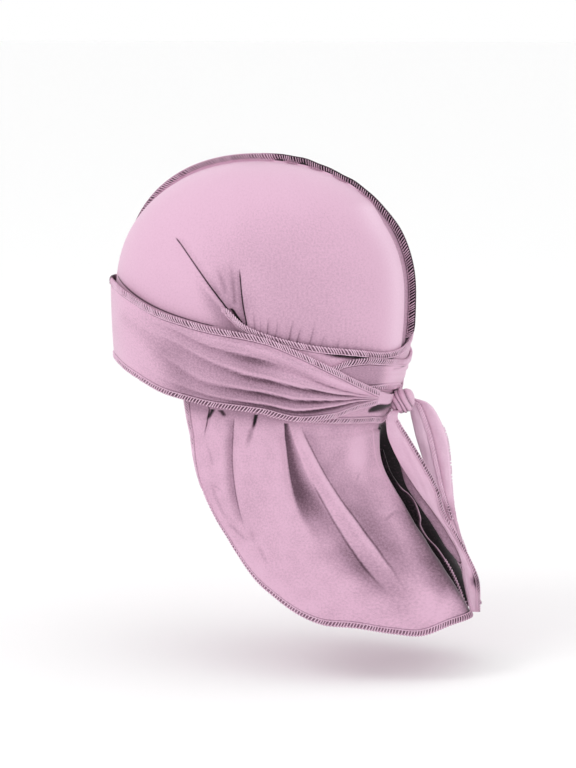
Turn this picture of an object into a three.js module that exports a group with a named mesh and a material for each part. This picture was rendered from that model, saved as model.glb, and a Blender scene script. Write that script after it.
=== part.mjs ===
// A durag as it is worn: a cap of two crown panels with a standing seam, two long ties that cross at the
// nape, go round the forehead and are knotted behind, two hanging tie ends, and a cape over the neck.
// Millimetres. +Z is up, the face looks along -Y, the wearer's left side is +X. The origin is the middle
// of the head opening, level with the widest line of the head.
import * as THREE from 'three';
import { mergeVertices } from 'three/addons/utils/BufferGeometryUtils.js';

// Driving sizes
const frontLength = 97; // widest line, from the origin to the forehead
const rearLength = 99.5; // widest line, from the origin to the back of the head
const headWidth = 154; // widest line, side to side
const crownHeight = 86.2; // from the widest line up to the top of the head
const napeDepth = 89; // from the widest line down to the ties' lowest edge
const cloth = 1.1; // thickness of one layer of the stretch cloth
const clearance = 0.4; // air between two layers that lie on each other
const seamGap = 0.3; // air between the two crown panels
const seamHeight = 4.3; // how far the seam allowance stands out
const seamWave = 1.4; // sideways waves of the standing seam behind the top
const seamWaveLength = 21;
const tieWidth = 60; // one tie, spread flat on the head
const tieFold = 2.4; // height of the long folds where a tie runs into the knot
const gatherDepth = 2.2; // deepest of the gathers that run up from the ties
const capeDrop = 128.5; // from the ties' lowest edge to the lowest point of the cape
const capeFlare = 0.68; // how far the cape runs back for each millimetre down, over the shoulders
const capeFold = 6; // depth of the cape's largest fold
const capeValley = 13; // depth of the hollow between the cape's two rear lobes
const knotWidth = 14; // the knot from side to side
const knotDepth = 10.4; // the knot from front to rear
const knotHeight = 15;
const knotStand = 9.2; // from the head to the knot's middle
const tailDrop = 137; // from the knot's middle down to the end of the ties
const tailReach = 50; // how far the ends lie behind the knot
const tailWidth = 18; // one folded tie end at its widest

// Values worked out from them
const layerPitch = cloth + clearance;
const degree = Math.PI / 180;
const sectionPower = 2.2; // 2 is an ellipse, more is squarer
const domePower = 2.15;
const sideTaper = 0.12; // the temples lie this share further in at the ties' lowest edge
const napeTaper = 0.16; // and the nape this share
const browTaper = 0.02;
const taperPower = 2.2;

const colours = { cloth: 0xe6b9d2, shade: 0xd9a9c4, deep: 0xcf9dba };

// Rows of a table are read between its entries: smooth follows a curve through them, eased never overshoots
function rowAt(table, position) {
  let row = 0;
  while (row < table.length - 2 && position > table[row + 1].at) {
    row += 1;
  }
  const span = table[row + 1].at - table[row].at;
  return { row, share: THREE.MathUtils.clamp((position - table[row].at) / span, 0, 1) };
}

function smooth(table, column, position) {
  const { row, share } = rowAt(table, position);
  const value = (index) => table[THREE.MathUtils.clamp(index, 0, table.length - 1)];
  const slope = (index) => {
    const before = value(index - 1);
    const after = value(index + 1);
    return (after[column] - before[column]) / (after.at - before.at);
  };
  const [from, to] = [value(row), value(row + 1)];
  const span = to.at - from.at;
  const rise = to[column] - from[column];
  const start = slope(row) * span;
  const end = slope(row + 1) * span;
  const bend = share * (1 - share);
  return from[column] + rise * share + bend * ((1 - share) * (start - rise) - share * (end - rise));
}

function eased(table, column, position) {
  const { row, share } = rowAt(table, position);
  const blend = THREE.MathUtils.smoothstep(share, 0, 1);
  return THREE.MathUtils.lerp(table[row][column], table[row + 1][column], blend);
}

const ramp = (value, low, high) => THREE.MathUtils.smoothstep(value, low, high);
const steps = (count) => Array.from({ length: count + 1 }, (_, index) => index / count);

// A level is a share of crownHeight above the widest line and of napeDepth below it
const heightOf = (level, offset = 0) => level * (level > 0 ? crownHeight + offset : napeDepth);
const levelOf = (height) => height / (height > 0 ? crownHeight : napeDepth);

// One flat section of the head, a rounded oval: turn 0 is the left side, 90 the rear, -90 the face
function section(turn, halfWidth, front, rear, height, power) {
  const side = Math.cos(turn * degree);
  const along = Math.sin(turn * degree);
  const length = along > 0 ? rear : front;
  const sum = (Math.abs(side) / halfWidth) ** power + (Math.abs(along) / length) ** power;
  const radius = 1 / sum ** (1 / power);
  return new THREE.Vector3(radius * side, radius * along, height);
}

// A point of the head form, grown outwards by an offset
function onHead(turn, level, offset) {
  const height = heightOf(level, offset);
  const rise = Math.min(height / (crownHeight + offset), 1);
  const dome = height > 0 ? (1 - rise ** domePower) ** (1 / domePower) : 1;
  const depth = Math.max(-level, 0);
  const halfWidth = (headWidth / 2) * (1 - sideTaper * depth ** 2);
  const front = frontLength * (1 - browTaper * (depth * 2) ** 2);
  const rear = rearLength * (1 - napeTaper * depth ** taperPower);
  return section(
    turn, (halfWidth + offset) * dome, (front + offset) * dome, (rear + offset) * dome, height, sectionPower,
  );
}

// A closed wall between two grids of points, outer[i][j] and inner[i][j]. A border of the grid gets its own
// strip of faces, unless it is a pole, where both ends of the grid meet.
function wall(outer, inner, farIsPole = false) {
  const rows = outer.length;
  const columns = outer[0].length;
  const points = [...outer.flat(), ...inner.flat()];
  const at = (layer, i, j) => (layer * rows + i) * columns + j;
  const faces = [];
  const face = (a, b, c) => {
    const apart = (p, q) => points[p].distanceTo(points[q]) > 1e-3;
    if (apart(a, b) && apart(b, c) && apart(a, c)) {
      faces.push([a, b, c]);
    }
  };
  const quad = (a, b, c, d) => {
    face(a, b, c);
    face(a, c, d);
  };
  const [lastRow, lastColumn] = [rows - 1, columns - 1];
  for (let i = 0; i < lastRow; i += 1) {
    for (let j = 0; j < lastColumn; j += 1) {
      quad(at(0, i, j), at(0, i + 1, j), at(0, i + 1, j + 1), at(0, i, j + 1));
      quad(at(1, i, j), at(1, i, j + 1), at(1, i + 1, j + 1), at(1, i + 1, j));
    }
    quad(at(0, i + 1, 0), at(0, i, 0), at(1, i, 0), at(1, i + 1, 0));
    if (!farIsPole) {
      quad(at(0, i, lastColumn), at(0, i + 1, lastColumn), at(1, i + 1, lastColumn), at(1, i, lastColumn));
    }
  }
  for (let j = 0; j < lastColumn; j += 1) {
    quad(at(0, 0, j), at(0, 0, j + 1), at(1, 0, j + 1), at(1, 0, j));
    quad(at(0, lastRow, j + 1), at(0, lastRow, j), at(1, lastRow, j), at(1, lastRow, j + 1));
  }
  const volume = faces.reduce(
    (sum, [a, b, c]) => sum + points[a].dot(points[b].clone().cross(points[c])), 0,
  );
  const order = volume > 0 ? faces : faces.map(([a, b, c]) => [a, c, b]);
  const geometry = new THREE.BufferGeometry().setFromPoints(points);
  geometry.setIndex(order.flat());
  return mergeVertices(geometry, 1e-3);
}

function piece(name, geometry, colour) {
  const material = new THREE.MeshStandardMaterial({ color: colour, roughness: 0.7, metalness: 0 });
  geometry.computeVertexNormals();
  const mesh = new THREE.Mesh(geometry, material);
  mesh.name = name;
  return mesh;
}

// The two ties. Both tables start at a tie's own side of the head, where it is sewn to the crown, and count
// the turn towards the rear: 90 is the nape, 180 the other side, 270 the face and 450 the knot. level is the
// upper edge, width a share of tieWidth, layer how many layers of cloth lie below (1 is on the crown), bulk
// the thickness in layers of cloth and fold the height of the long folds as a share of tieFold.
const leftTie = [
  { at: -4, level: -0.1, width: 0.68, layer: 1, bulk: 1, fold: 0 },
  { at: 9, level: -0.168, width: 0.84, layer: 1, bulk: 1, fold: 0 },
  { at: 20, level: -0.236, width: 0.88, layer: 1, bulk: 1, fold: 0 },
  { at: 38, level: -0.309, width: 0.84, layer: 1, bulk: 1, fold: 0 },
  { at: 56, level: -0.354, width: 0.81, layer: 1, bulk: 1, fold: 0 },
  { at: 72, level: -0.396, width: 0.78, layer: 1, bulk: 1, fold: 0 },
  { at: 86, level: -0.376, width: 0.84, layer: 1, bulk: 1, fold: 0 },
  { at: 100, level: -0.3, width: 0.78, layer: 1, bulk: 1, fold: 0 },
  { at: 116, level: -0.18, width: 0.52, layer: 1, bulk: 1, fold: 0 },
  { at: 130, level: -0.08, width: 0.33, layer: 1, bulk: 1, fold: 0 },
  { at: 144, level: -0.03, width: 0.31, layer: 3, bulk: 1, fold: 0 },
  { at: 158, level: -0.04, width: 0.58, layer: 3, bulk: 1, fold: 0 },
  { at: 174, level: -0.1, width: 0.86, layer: 3, bulk: 1, fold: 0 },
  { at: 188, level: -0.14, width: 0.9, layer: 3, bulk: 1, fold: 0 },
  { at: 208, level: -0.1, width: 0.9, layer: 3, bulk: 1, fold: 0 },
  { at: 228, level: 0, width: 0.88, layer: 3, bulk: 1, fold: 0 },
  { at: 250, level: 0.116, width: 0.93, layer: 3, bulk: 1, fold: 0 },
  { at: 270, level: 0.16, width: 0.92, layer: 3, bulk: 1, fold: 0 },
  { at: 293, level: 0.114, width: 0.91, layer: 3, bulk: 1, fold: 0 },
  { at: 308, level: 0.03, width: 0.9, layer: 3, bulk: 1, fold: 0 },
  { at: 326, level: -0.08, width: 0.9, layer: 3, bulk: 1, fold: 0.1 },
  { at: 352, level: -0.18, width: 0.87, layer: 3, bulk: 1, fold: 0.5 },
  { at: 377, level: -0.247, width: 0.83, layer: 3, bulk: 1, fold: 0.9 },
  { at: 392, level: -0.35, width: 0.76, layer: 3, bulk: 1, fold: 1 },
  { at: 408, level: -0.494, width: 0.53, layer: 3, bulk: 1.3, fold: 1 },
  { at: 419, level: -0.594, width: 0.31, layer: 3, bulk: 2, fold: 0.8 },
  { at: 430, level: -0.675, width: 0.15, layer: 3.5, bulk: 2.4, fold: 0.3 },
  { at: 440, level: -0.708, width: 0.12, layer: 4.4, bulk: 2.2, fold: 0 },
  { at: 445, level: -0.725, width: 0.13, layer: 4.8, bulk: 2.2, fold: 0 },
];
const rightTie = [
  { at: -4, level: -0.1, width: 0.68, layer: 1, bulk: 1, fold: 0 },
  { at: 9, level: -0.168, width: 0.84, layer: 1, bulk: 1, fold: 0 },
  { at: 20, level: -0.236, width: 0.88, layer: 1, bulk: 1, fold: 0 },
  { at: 36, level: -0.305, width: 0.84, layer: 1, bulk: 1, fold: 0 },
  { at: 50, level: -0.36, width: 0.78, layer: 2, bulk: 1, fold: 0 },
  { at: 64, level: -0.41, width: 0.62, layer: 2, bulk: 1, fold: 0.2 },
  { at: 78, level: -0.455, width: 0.44, layer: 2, bulk: 1.1, fold: 0.4 },
  { at: 90, level: -0.485, width: 0.33, layer: 2, bulk: 1.2, fold: 0.4 },
  { at: 104, level: -0.455, width: 0.33, layer: 2, bulk: 1.1, fold: 0.3 },
  { at: 112, level: -0.435, width: 0.35, layer: 2, bulk: 1, fold: 0 },
  { at: 119, level: -0.42, width: 0.37, layer: 2, bulk: 1, fold: 0 },
  { at: 128, level: -0.43, width: 0.4, layer: 2, bulk: 1, fold: 0 },
  { at: 134, level: -0.47, width: 0.42, layer: 2, bulk: 1, fold: 0 },
  { at: 150, level: -0.44, width: 0.54, layer: 2, bulk: 1, fold: 0 },
  { at: 170, level: -0.32, width: 0.66, layer: 2, bulk: 1, fold: 0 },
  { at: 188, level: -0.25, width: 0.7, layer: 2, bulk: 1, fold: 0 },
  { at: 208, level: -0.17, width: 0.72, layer: 2, bulk: 1, fold: 0 },
  { at: 228, level: -0.06, width: 0.74, layer: 2, bulk: 1, fold: 0 },
  { at: 250, level: 0.06, width: 0.78, layer: 2, bulk: 1, fold: 0 },
  { at: 270, level: 0.11, width: 0.78, layer: 2, bulk: 1, fold: 0 },
  { at: 290, level: 0.06, width: 0.78, layer: 2, bulk: 1, fold: 0 },
  { at: 312, level: -0.06, width: 0.74, layer: 2, bulk: 1, fold: 0 },
  { at: 334, level: -0.16, width: 0.76, layer: 2, bulk: 1, fold: 0 },
  { at: 354, level: -0.21, width: 0.8, layer: 2, bulk: 1, fold: 0 },
  { at: 377, level: -0.27, width: 0.8, layer: 2, bulk: 1, fold: 0 },
  { at: 390, level: -0.35, width: 0.75, layer: 2, bulk: 1, fold: 0 },
  { at: 408, level: -0.5, width: 0.53, layer: 3, bulk: 1.3, fold: 1 },
  { at: 419, level: -0.6, width: 0.31, layer: 3.2, bulk: 2, fold: 0.8 },
  { at: 430, level: -0.675, width: 0.15, layer: 3.6, bulk: 2.4, fold: 0.3 },
  { at: 440, level: -0.708, width: 0.12, layer: 4.4, bulk: 2.2, fold: 0 },
  { at: 445, level: -0.725, width: 0.13, layer: 4.8, bulk: 2.2, fold: 0 },
];

const tieSteps = 62;
const tieColumns = 8;
const foldsAcross = 4;

const upperEdge = (table, turn) => heightOf(smooth(table, 'level', turn));
const lowerEdge = (table, turn) => upperEdge(table, turn) - smooth(table, 'width', turn) * tieWidth;

function tieGeometry(table) {
  const outer = [];
  const inner = [];
  const [first, last] = [table[0].at, table[table.length - 1].at];
  for (const along of steps(tieSteps)) {
    const turn = THREE.MathUtils.lerp(first, last, along);
    const offset = eased(table, 'layer', turn) * layerPitch;
    const thickness = eased(table, 'bulk', turn) * cloth;
    const fold = eased(table, 'fold', turn) * tieFold;
    const place = (across, extra) => {
      const height = THREE.MathUtils.lerp(lowerEdge(table, turn), upperEdge(table, turn), across);
      return onHead(turn, levelOf(height), offset + extra);
    };
    const ridge = (across) => fold * (0.5 - 0.5 * Math.cos(2 * Math.PI * foldsAcross * across));
    inner.push(steps(tieColumns).map((across) => place(across, ridge(across))));
    outer.push(steps(tieColumns).map((across) => place(across, ridge(across) + thickness)));
  }
  return wall(outer, inner);
}

// The crown. Its rim lies under the ties and rises towards the face. A crease runs from one turn and level
// to another, and its width and depth are shares of gatherDepth.
const rimLine = [
  { at: -90, level: -0.36 },
  { at: -60, level: -0.42 },
  { at: -34, level: -0.57 },
  { at: -8, level: -0.67 },
  { at: 17, level: -0.72 },
  { at: 40, level: -0.77 },
  { at: 66, level: -0.82 },
  { at: 90, level: -0.85 },
];
const rimHeight = (turn) => heightOf(smooth(rimLine, 'level', turn));

const crownCreases = [
  { turn: -31, level: 0.45, toTurn: 3, toLevel: -0.06, width: 1.7, depth: 0.8 },
  { turn: 3, level: -0.06, toTurn: 10, toLevel: -0.2, width: 1.7, depth: 1 },
  { turn: 6, level: 0.24, toTurn: 9, toLevel: -0.17, width: 1.5, depth: 0.8 },
  { turn: -12, level: 0.2, toTurn: 4, toLevel: -0.06, width: 2.2, depth: 0.5 },
  { turn: 14, level: 0.02, toTurn: 15, toLevel: -0.21, width: 1.5, depth: 0.6 },
  { turn: 22, level: -0.03, toTurn: 21, toLevel: -0.25, width: 1.5, depth: 0.6 },
  { turn: 32, level: -0.1, toTurn: 29, toLevel: -0.29, width: 1.5, depth: 0.5 },
  { turn: 40, level: -0.16, toTurn: 37, toLevel: -0.31, width: 1.5, depth: 0.4 },
];

// How deep a set of creases is at a place; each grows over a share of its length from its first end
const creaseGrowth = 0.4;

function creaseDepth(creases, unit, turn, height) {
  const reach = (headWidth / 2) * degree;
  const place = new THREE.Vector2(turn * reach, height);
  return creases.reduce((sum, crease) => {
    const start = new THREE.Vector2(crease.turn * reach, heightOf(crease.level));
    const end = new THREE.Vector2(crease.toTurn * reach, heightOf(crease.toLevel));
    const run = end.clone().sub(start);
    const share = THREE.MathUtils.clamp(place.clone().sub(start).dot(run) / run.lengthSq(), 0, 1);
    const away = place.distanceTo(start.addScaledVector(run, share)) / (crease.width * unit);
    return sum + crease.depth * unit * ramp(share, 0, creaseGrowth) * Math.exp(-away * away);
  }, 0);
}

// The crown's rows: a few from the rim to the ties' upper edge, the others from there to the top
const coveredRows = 2;
const openRows = 11;
const coverEdge = (turn) => upperEdge(leftTie, turn < leftTie[0].at ? turn + 360 : turn) + clearance;

function crownHeights(turn) {
  const edge = coverEdge(turn);
  const low = Math.asin(edge / crownHeight);
  const covered = steps(coveredRows).map((share) => THREE.MathUtils.lerp(rimHeight(turn), edge, share));
  const open = steps(openRows).map((share) => {
    return Math.sin(THREE.MathUtils.lerp(low, Math.PI / 2, share)) * crownHeight;
  });
  return [...covered, ...open.slice(1)];
}

// The standing seam: nothing under the ties, growing slowly over the forehead and at once at the back
const seamRiseFront = 38;
const seamRiseRear = 16;
const seamFront = (height) => seamHeight * ramp(height, coverEdge(-90), coverEdge(-90) + seamRiseFront);
const seamRear = (height) => seamHeight * ramp(height, coverEdge(90), coverEdge(90) + seamRiseRear);

// It leans from side to side behind the top only: the waves set in between the first two places behind the
// origin and die away between the last two
const leanStart = [4, 12];
const leanEnd = [48, 62];
const seamLean = (along) => {
  const wave = Math.sin((2 * Math.PI * along) / seamWaveLength);
  return seamWave * wave * ramp(along, ...leanStart) * (1 - ramp(along, ...leanEnd));
};

// Columns lie closer together over the gathers than elsewhere
const crownColumns = 34;
const crownCrowding = 0.042;
const crowdingShift = 0.03;
const crownTurn = (share) => {
  const inside = share > 0 && share < 1;
  const crowding = inside ? crownCrowding * Math.sin(2 * Math.PI * (share - crowdingShift)) : 0;
  return -90 + 180 * (share - crowding);
};

function crownGeometry(side) {
  const column = (turn, offset, stand) => crownHeights(turn).map((height) => {
    const dent = creaseDepth(crownCreases, gatherDepth, turn, height) * Math.cos(turn * degree);
    const point = onHead(turn, levelOf(height), offset - dent + (stand ? stand(height) : 0));
    const away = seamGap / 2 + (offset > 0 ? cloth : 0);
    const lean = stand && height > 0 ? seamLean(point.y) : 0;
    return new THREE.Vector3(side * Math.max(point.x, away) + lean, point.y, point.z);
  });
  const grid = (offset) => {
    const edge = (stand) => (height) => cloth - offset + stand(height);
    const turns = steps(crownColumns).map(crownTurn);
    return [
      column(-90, offset, edge(seamFront)),
      ...turns.map((turn) => column(turn, offset)),
      column(90, offset, edge(seamRear)),
    ];
  };
  return wall(grid(cloth), grid(0), true);
}

// The cape. Below the ties it runs straight down at the sides and back over the shoulders behind.
// hemLine gives the hem's level below the ties' lowest edge as a share of capeDrop.
const capeFrontTurn = -25;
const capeHemTurn = -16;
const hemLine = [
  { at: -16, drop: 0.259 },
  { at: -8, drop: 0.383 },
  { at: 0, drop: 0.533 },
  { at: 12, drop: 0.704 },
  { at: 22, drop: 0.802 },
  { at: 33, drop: 0.89 },
  { at: 42, drop: 0.937 },
  { at: 52, drop: 0.95 },
  { at: 62, drop: 0.982 },
  { at: 69, drop: 0.998 },
  { at: 77, drop: 0.955 },
  { at: 84, drop: 0.935 },
  { at: 90, drop: 0.93 },
];

// Folds of the left half: a row runs from one turn and drop to another; depth and width are shares of
// capeFold, and a negative depth is a ridge
const capeFolds = [
  { turn: -12, drop: -0.1, toTurn: -16, toDrop: 0.1, width: 1, depth: 0.4 },
  { turn: -1, drop: -0.1, toTurn: 4, toDrop: 0.42, width: 1.2, depth: 0.5 },
  { turn: 13, drop: -0.1, toTurn: 12, toDrop: 0.06, width: 1, depth: 0.4 },
  { turn: 27, drop: -0.1, toTurn: 41, toDrop: 0.42, width: 1.6, depth: 0.9 },
  { turn: 41, drop: 0.42, toTurn: 66, toDrop: 0.86, width: 1.8, depth: 0.8 },
  { turn: 36, drop: 0.02, toTurn: 51, toDrop: 0.32, width: 1.2, depth: -0.4 },
  { turn: 51, drop: 0.32, toTurn: 72, toDrop: 0.8, width: 1.4, depth: -0.5 },
  { turn: 62, drop: 0, toTurn: 68, toDrop: 0.42, width: 1.5, depth: 0.4 },
];

const capeColumns = 48;
const capeRows = 10;

// The cape leaves the nape after a short straight run
const shoulderStart = 0.217;
const shoulderBend = 0.093;
const capeSpread = 0.04; // how far a side goes outwards for each millimetre down

function capeShoulder(drop) {
  const start = shoulderStart * capeDrop;
  const bend = shoulderBend * capeDrop;
  const run = (below) => 0.5 * capeFlare * (Math.hypot(below - start, bend) + below - start);
  return run(Math.max(drop, 0)) - run(0);
}

function onCape(turn, height, offset) {
  const drop = Math.max(-height - napeDepth, 0);
  const top = onHead(turn, Math.max(levelOf(height), -1), offset);
  if (drop === 0) {
    return top;
  }
  const halfWidth = (headWidth / 2) * (1 - sideTaper) + capeSpread * drop + offset;
  const front = frontLength * (1 - 4 * browTaper) + offset;
  const rear = rearLength * (1 - napeTaper) + capeShoulder(drop) + offset;
  return section(turn, halfWidth, front, rear, height, sectionPower);
}

// Drops between which the folds and the hollow grow to their full depth, and how far above the hem the folds
// begin to flatten; the hollow's half width is a share of its depth
const foldGrowth = [-0.06, 0.06];
const valleyGrowth = [-0.04, 0.3];
const hemFlattening = 0.12;
const valleyHalfWidth = 0.5;

function capeRelief(turn, height) {
  const reach = (headWidth / 2) * degree;
  const drop = (-height - napeDepth) / capeDrop;
  const place = new THREE.Vector2(turn * reach, drop * capeDrop);
  const folds = capeFolds.reduce((sum, fold) => {
    const start = new THREE.Vector2(fold.turn * reach, fold.drop * capeDrop);
    const run = new THREE.Vector2(fold.toTurn * reach, fold.toDrop * capeDrop).sub(start);
    const share = THREE.MathUtils.clamp(place.clone().sub(start).dot(run) / run.lengthSq(), 0, 1);
    const away = place.distanceTo(start.addScaledVector(run, share)) / (fold.width * capeFold);
    return sum + fold.depth * capeFold * Math.exp(-away * away);
  }, 0);
  const middle = ((90 - turn) * reach) / (valleyHalfWidth * capeValley);
  const valley = capeValley * ramp(drop, ...valleyGrowth) * Math.exp(-middle * middle);
  return -folds * ramp(drop, ...foldGrowth) * ramp(1 - drop, 0, hemFlattening) - valley;
}

function capeGeometry() {
  const grid = (offset) => steps(capeColumns).map((share) => {
    const mirror = share > 0.5 ? -1 : 1;
    const across = 1 - Math.abs(1 - 2 * share);
    const topTurn = THREE.MathUtils.lerp(capeFrontTurn, 90, across);
    const hemTurn = THREE.MathUtils.lerp(capeHemTurn, 90, across);
    const top = rimHeight(topTurn) - seamGap;
    const hem = -napeDepth - smooth(hemLine, 'drop', hemTurn) * capeDrop;
    return steps(capeRows).map((down) => {
      const turn = THREE.MathUtils.lerp(topTurn, hemTurn, down ** 3);
      const height = THREE.MathUtils.lerp(top, hem, down);
      const point = onCape(turn, height, offset + capeRelief(turn, height));
      return new THREE.Vector3(mirror * point.x, point.y, point.z);
    });
  });
  return wall(grid(cloth), grid(0));
}

// The knot stands behind the ties at the nape: a rounded box with slanting creases between its wraps
const knotLevel = -0.8;
const knotCentre = onHead(90, knotLevel, knotStand).setX(0);
const knotPower = 3;
const knotCrease = 0.09;
const knotWraps = 3.2;
const knotSlant = 0.45;

function knotGeometry() {
  const geometry = new THREE.SphereGeometry(1, 16, 12);
  geometry.deleteAttribute('normal');
  geometry.deleteAttribute('uv');
  const ball = mergeVertices(geometry, 1e-5);
  const spot = ball.getAttribute('position');
  for (let index = 0; index < spot.count; index += 1) {
    const way = new THREE.Vector3().fromBufferAttribute(spot, index);
    const sum = Math.abs(way.x) ** knotPower + Math.abs(way.y) ** knotPower + Math.abs(way.z) ** knotPower;
    const wrap = Math.cos(knotWraps * Math.PI * (way.y + knotSlant * way.z));
    const crease = 1 - knotCrease * wrap * ramp(way.x ** 2, 0.05, 0.4);
    way.multiplyScalar(crease / sum ** (1 / knotPower));
    const half = new THREE.Vector3(knotWidth / 2, knotDepth / 2, knotHeight / 2);
    way.multiply(half).add(knotCentre);
    spot.setXYZ(index, way.x, way.y, way.z);
  }
  return ball;
}

// The tie ends. drop is a share of tailDrop below the knot, reach a share of tailReach behind the knot's
// middle, aside a share of knotWidth to the left, width a share of tailWidth and face the angle in plan
// between the cloth's width and the way back. A profile is the folded section, in shares of the width, and
// curl says how far it is folded.
const leftTail = [
  { at: 0, drop: 0.035, reach: -0.07, aside: 0.62, width: 0.32, face: 45, curl: 0 },
  { at: 1, drop: 0.06, reach: -0.106, aside: 0.98, width: 0.42, face: 38, curl: 0 },
  { at: 2, drop: 0.1, reach: -0.08, aside: 1.07, width: 0.55, face: 24, curl: 0.2 },
  { at: 3, drop: 0.18, reach: 0, aside: 0.94, width: 0.82, face: 8, curl: 0.7 },
  { at: 4, drop: 0.3, reach: 0.16, aside: 0.69, width: 0.95, face: 0, curl: 1 },
  { at: 5, drop: 0.42, reach: 0.34, aside: 0.43, width: 0.85, face: 8, curl: 1 },
  { at: 6, drop: 0.54, reach: 0.51, aside: 0.17, width: 0.75, face: 45, curl: 1 },
  { at: 7, drop: 0.66, reach: 0.68, aside: 0, width: 0.7, face: 75, curl: 1 },
  { at: 8, drop: 0.78, reach: 0.81, aside: -0.17, width: 0.65, face: 50, curl: 1 },
  { at: 9, drop: 0.9, reach: 0.91, aside: -0.21, width: 0.6, face: 35, curl: 1 },
  { at: 10, drop: 1.02, reach: 0.95, aside: -0.21, width: 0.3, face: 30, curl: 1 },
];
const leftProfile = [
  { across: 0.5, deep: 0.04 },
  { across: 0.2, deep: 0 },
  { across: -0.2, deep: 0 },
  { across: -0.5, deep: 0.05 },
  { across: -0.68, deep: 0.25 },
  { across: -0.72, deep: 0.5 },
];
const rightTail = [
  { at: 0, drop: 0, reach: 0.13, aside: -0.53, width: 0.42, face: 0, curl: 1 },
  { at: 1, drop: 0.015, reach: 0.24, aside: -0.92, width: 0.85, face: 0, curl: 1 },
  { at: 2, drop: 0.08, reach: 0.26, aside: -1.03, width: 1, face: 0, curl: 1 },
  { at: 3, drop: 0.19, reach: 0.36, aside: -1.03, width: 1.1, face: 0, curl: 1 },
  { at: 4, drop: 0.31, reach: 0.45, aside: -0.9, width: 0.95, face: 0, curl: 1 },
  { at: 5, drop: 0.43, reach: 0.54, aside: -0.77, width: 0.72, face: 10, curl: 1 },
  { at: 6, drop: 0.53, reach: 0.63, aside: -0.73, width: 0.6, face: 35, curl: 1 },
  { at: 7, drop: 0.64, reach: 0.74, aside: -0.77, width: 0.55, face: 60, curl: 1 },
  { at: 8, drop: 0.74, reach: 0.84, aside: -0.81, width: 0.4, face: 60, curl: 1 },
];
const rightProfile = [
  { across: -0.5, deep: 0 },
  { across: -0.2, deep: -0.05 },
  { across: 0.04, deep: -0.02 },
  { across: 0.12, deep: 0.09 },
  { across: 0.36, deep: 0.1 },
  { across: 0.5, deep: 0.2 },
  { across: 0.46, deep: 0.42 },
];

const tailSteps = 15;

function tailGeometry(table, profile) {
  const last = table.length - 1;
  const grid = (lift) => steps(tailSteps).map((share) => {
    const at = share * last;
    const width = smooth(table, 'width', at) * tailWidth;
    const face = smooth(table, 'face', at) * degree;
    const curl = smooth(table, 'curl', at);
    const middle = new THREE.Vector3(
      smooth(table, 'aside', at) * knotWidth,
      smooth(table, 'reach', at) * tailReach,
      -smooth(table, 'drop', at) * tailDrop,
    ).add(knotCentre);
    return profile.map(({ across, deep }, index) => {
      const before = profile[Math.max(index - 1, 0)];
      const after = profile[Math.min(index + 1, profile.length - 1)];
      const run = new THREE.Vector2(after.across - before.across, curl * (after.deep - before.deep)).normalize();
      const along = across * width + lift * run.y;
      const inwards = curl * deep * width - lift * run.x;
      const back = along * Math.cos(face) - inwards * Math.sin(face);
      const side = -along * Math.sin(face) - inwards * Math.cos(face);
      return new THREE.Vector3(side, back, 0).add(middle);
    });
  });
  return wall(grid(cloth / 2), grid(-cloth / 2));
}

const mirrored = (geometry) => {
  const copy = geometry.clone().scale(-1, 1, 1);
  const index = Array.from(copy.getIndex().array);
  for (let corner = 0; corner < index.length; corner += 3) {
    [index[corner], index[corner + 1]] = [index[corner + 1], index[corner]];
  }
  copy.setIndex(index);
  return copy;
};

const durag = new THREE.Group();
durag.add(piece('crown_left', crownGeometry(1), colours.cloth));
durag.add(piece('crown_right', crownGeometry(-1), colours.cloth));
durag.add(piece('tie_left', tieGeometry(leftTie), colours.shade));
durag.add(piece('tie_right', mirrored(tieGeometry(rightTie)), colours.shade));
durag.add(piece('knot', knotGeometry(), colours.deep));
durag.add(piece('tail_left', tailGeometry(leftTail, leftProfile), colours.shade));
durag.add(piece('tail_right', tailGeometry(rightTail, rightProfile), colours.shade));
durag.add(piece('cape', capeGeometry(), colours.cloth));

export default durag;
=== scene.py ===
import math

import bpy
import numpy as np
from mathutils import Matrix, Vector


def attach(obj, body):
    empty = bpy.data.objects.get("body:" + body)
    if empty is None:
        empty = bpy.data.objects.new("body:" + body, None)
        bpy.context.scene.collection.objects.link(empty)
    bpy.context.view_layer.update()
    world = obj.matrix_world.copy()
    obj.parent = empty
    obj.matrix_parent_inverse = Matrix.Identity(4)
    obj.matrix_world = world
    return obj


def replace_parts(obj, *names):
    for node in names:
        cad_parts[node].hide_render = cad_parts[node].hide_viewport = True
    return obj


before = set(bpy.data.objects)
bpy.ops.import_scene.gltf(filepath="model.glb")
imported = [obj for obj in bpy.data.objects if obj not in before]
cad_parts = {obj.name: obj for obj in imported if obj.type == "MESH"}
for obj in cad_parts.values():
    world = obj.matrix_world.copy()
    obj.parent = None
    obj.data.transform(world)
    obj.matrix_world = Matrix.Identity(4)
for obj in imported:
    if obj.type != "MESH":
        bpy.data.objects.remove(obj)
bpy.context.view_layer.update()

# Sizes in millimetres, as in the solids. +Z is up, the front is -Y, the wearer's left is +X
FRONT_LENGTH = 97.0
REAR_LENGTH = 99.5
HEAD_WIDTH = 154.0
CROWN_HEIGHT = 84.6
NAPE_DEPTH = 89.0
LAYER_PITCH = 1.5
TIE_WIDTH = 60.0
CAPE_DROP = 128.5
SEAM_HEIGHT = 4.3
KNOT_HALF = np.array([10.0, 7.6, 8.2])
TAIL_DROP = 137.0
TAIL_REACH = 50.0
TAIL_WIDTH = 18.0
KNOT_WIDTH = 14.0

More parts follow.
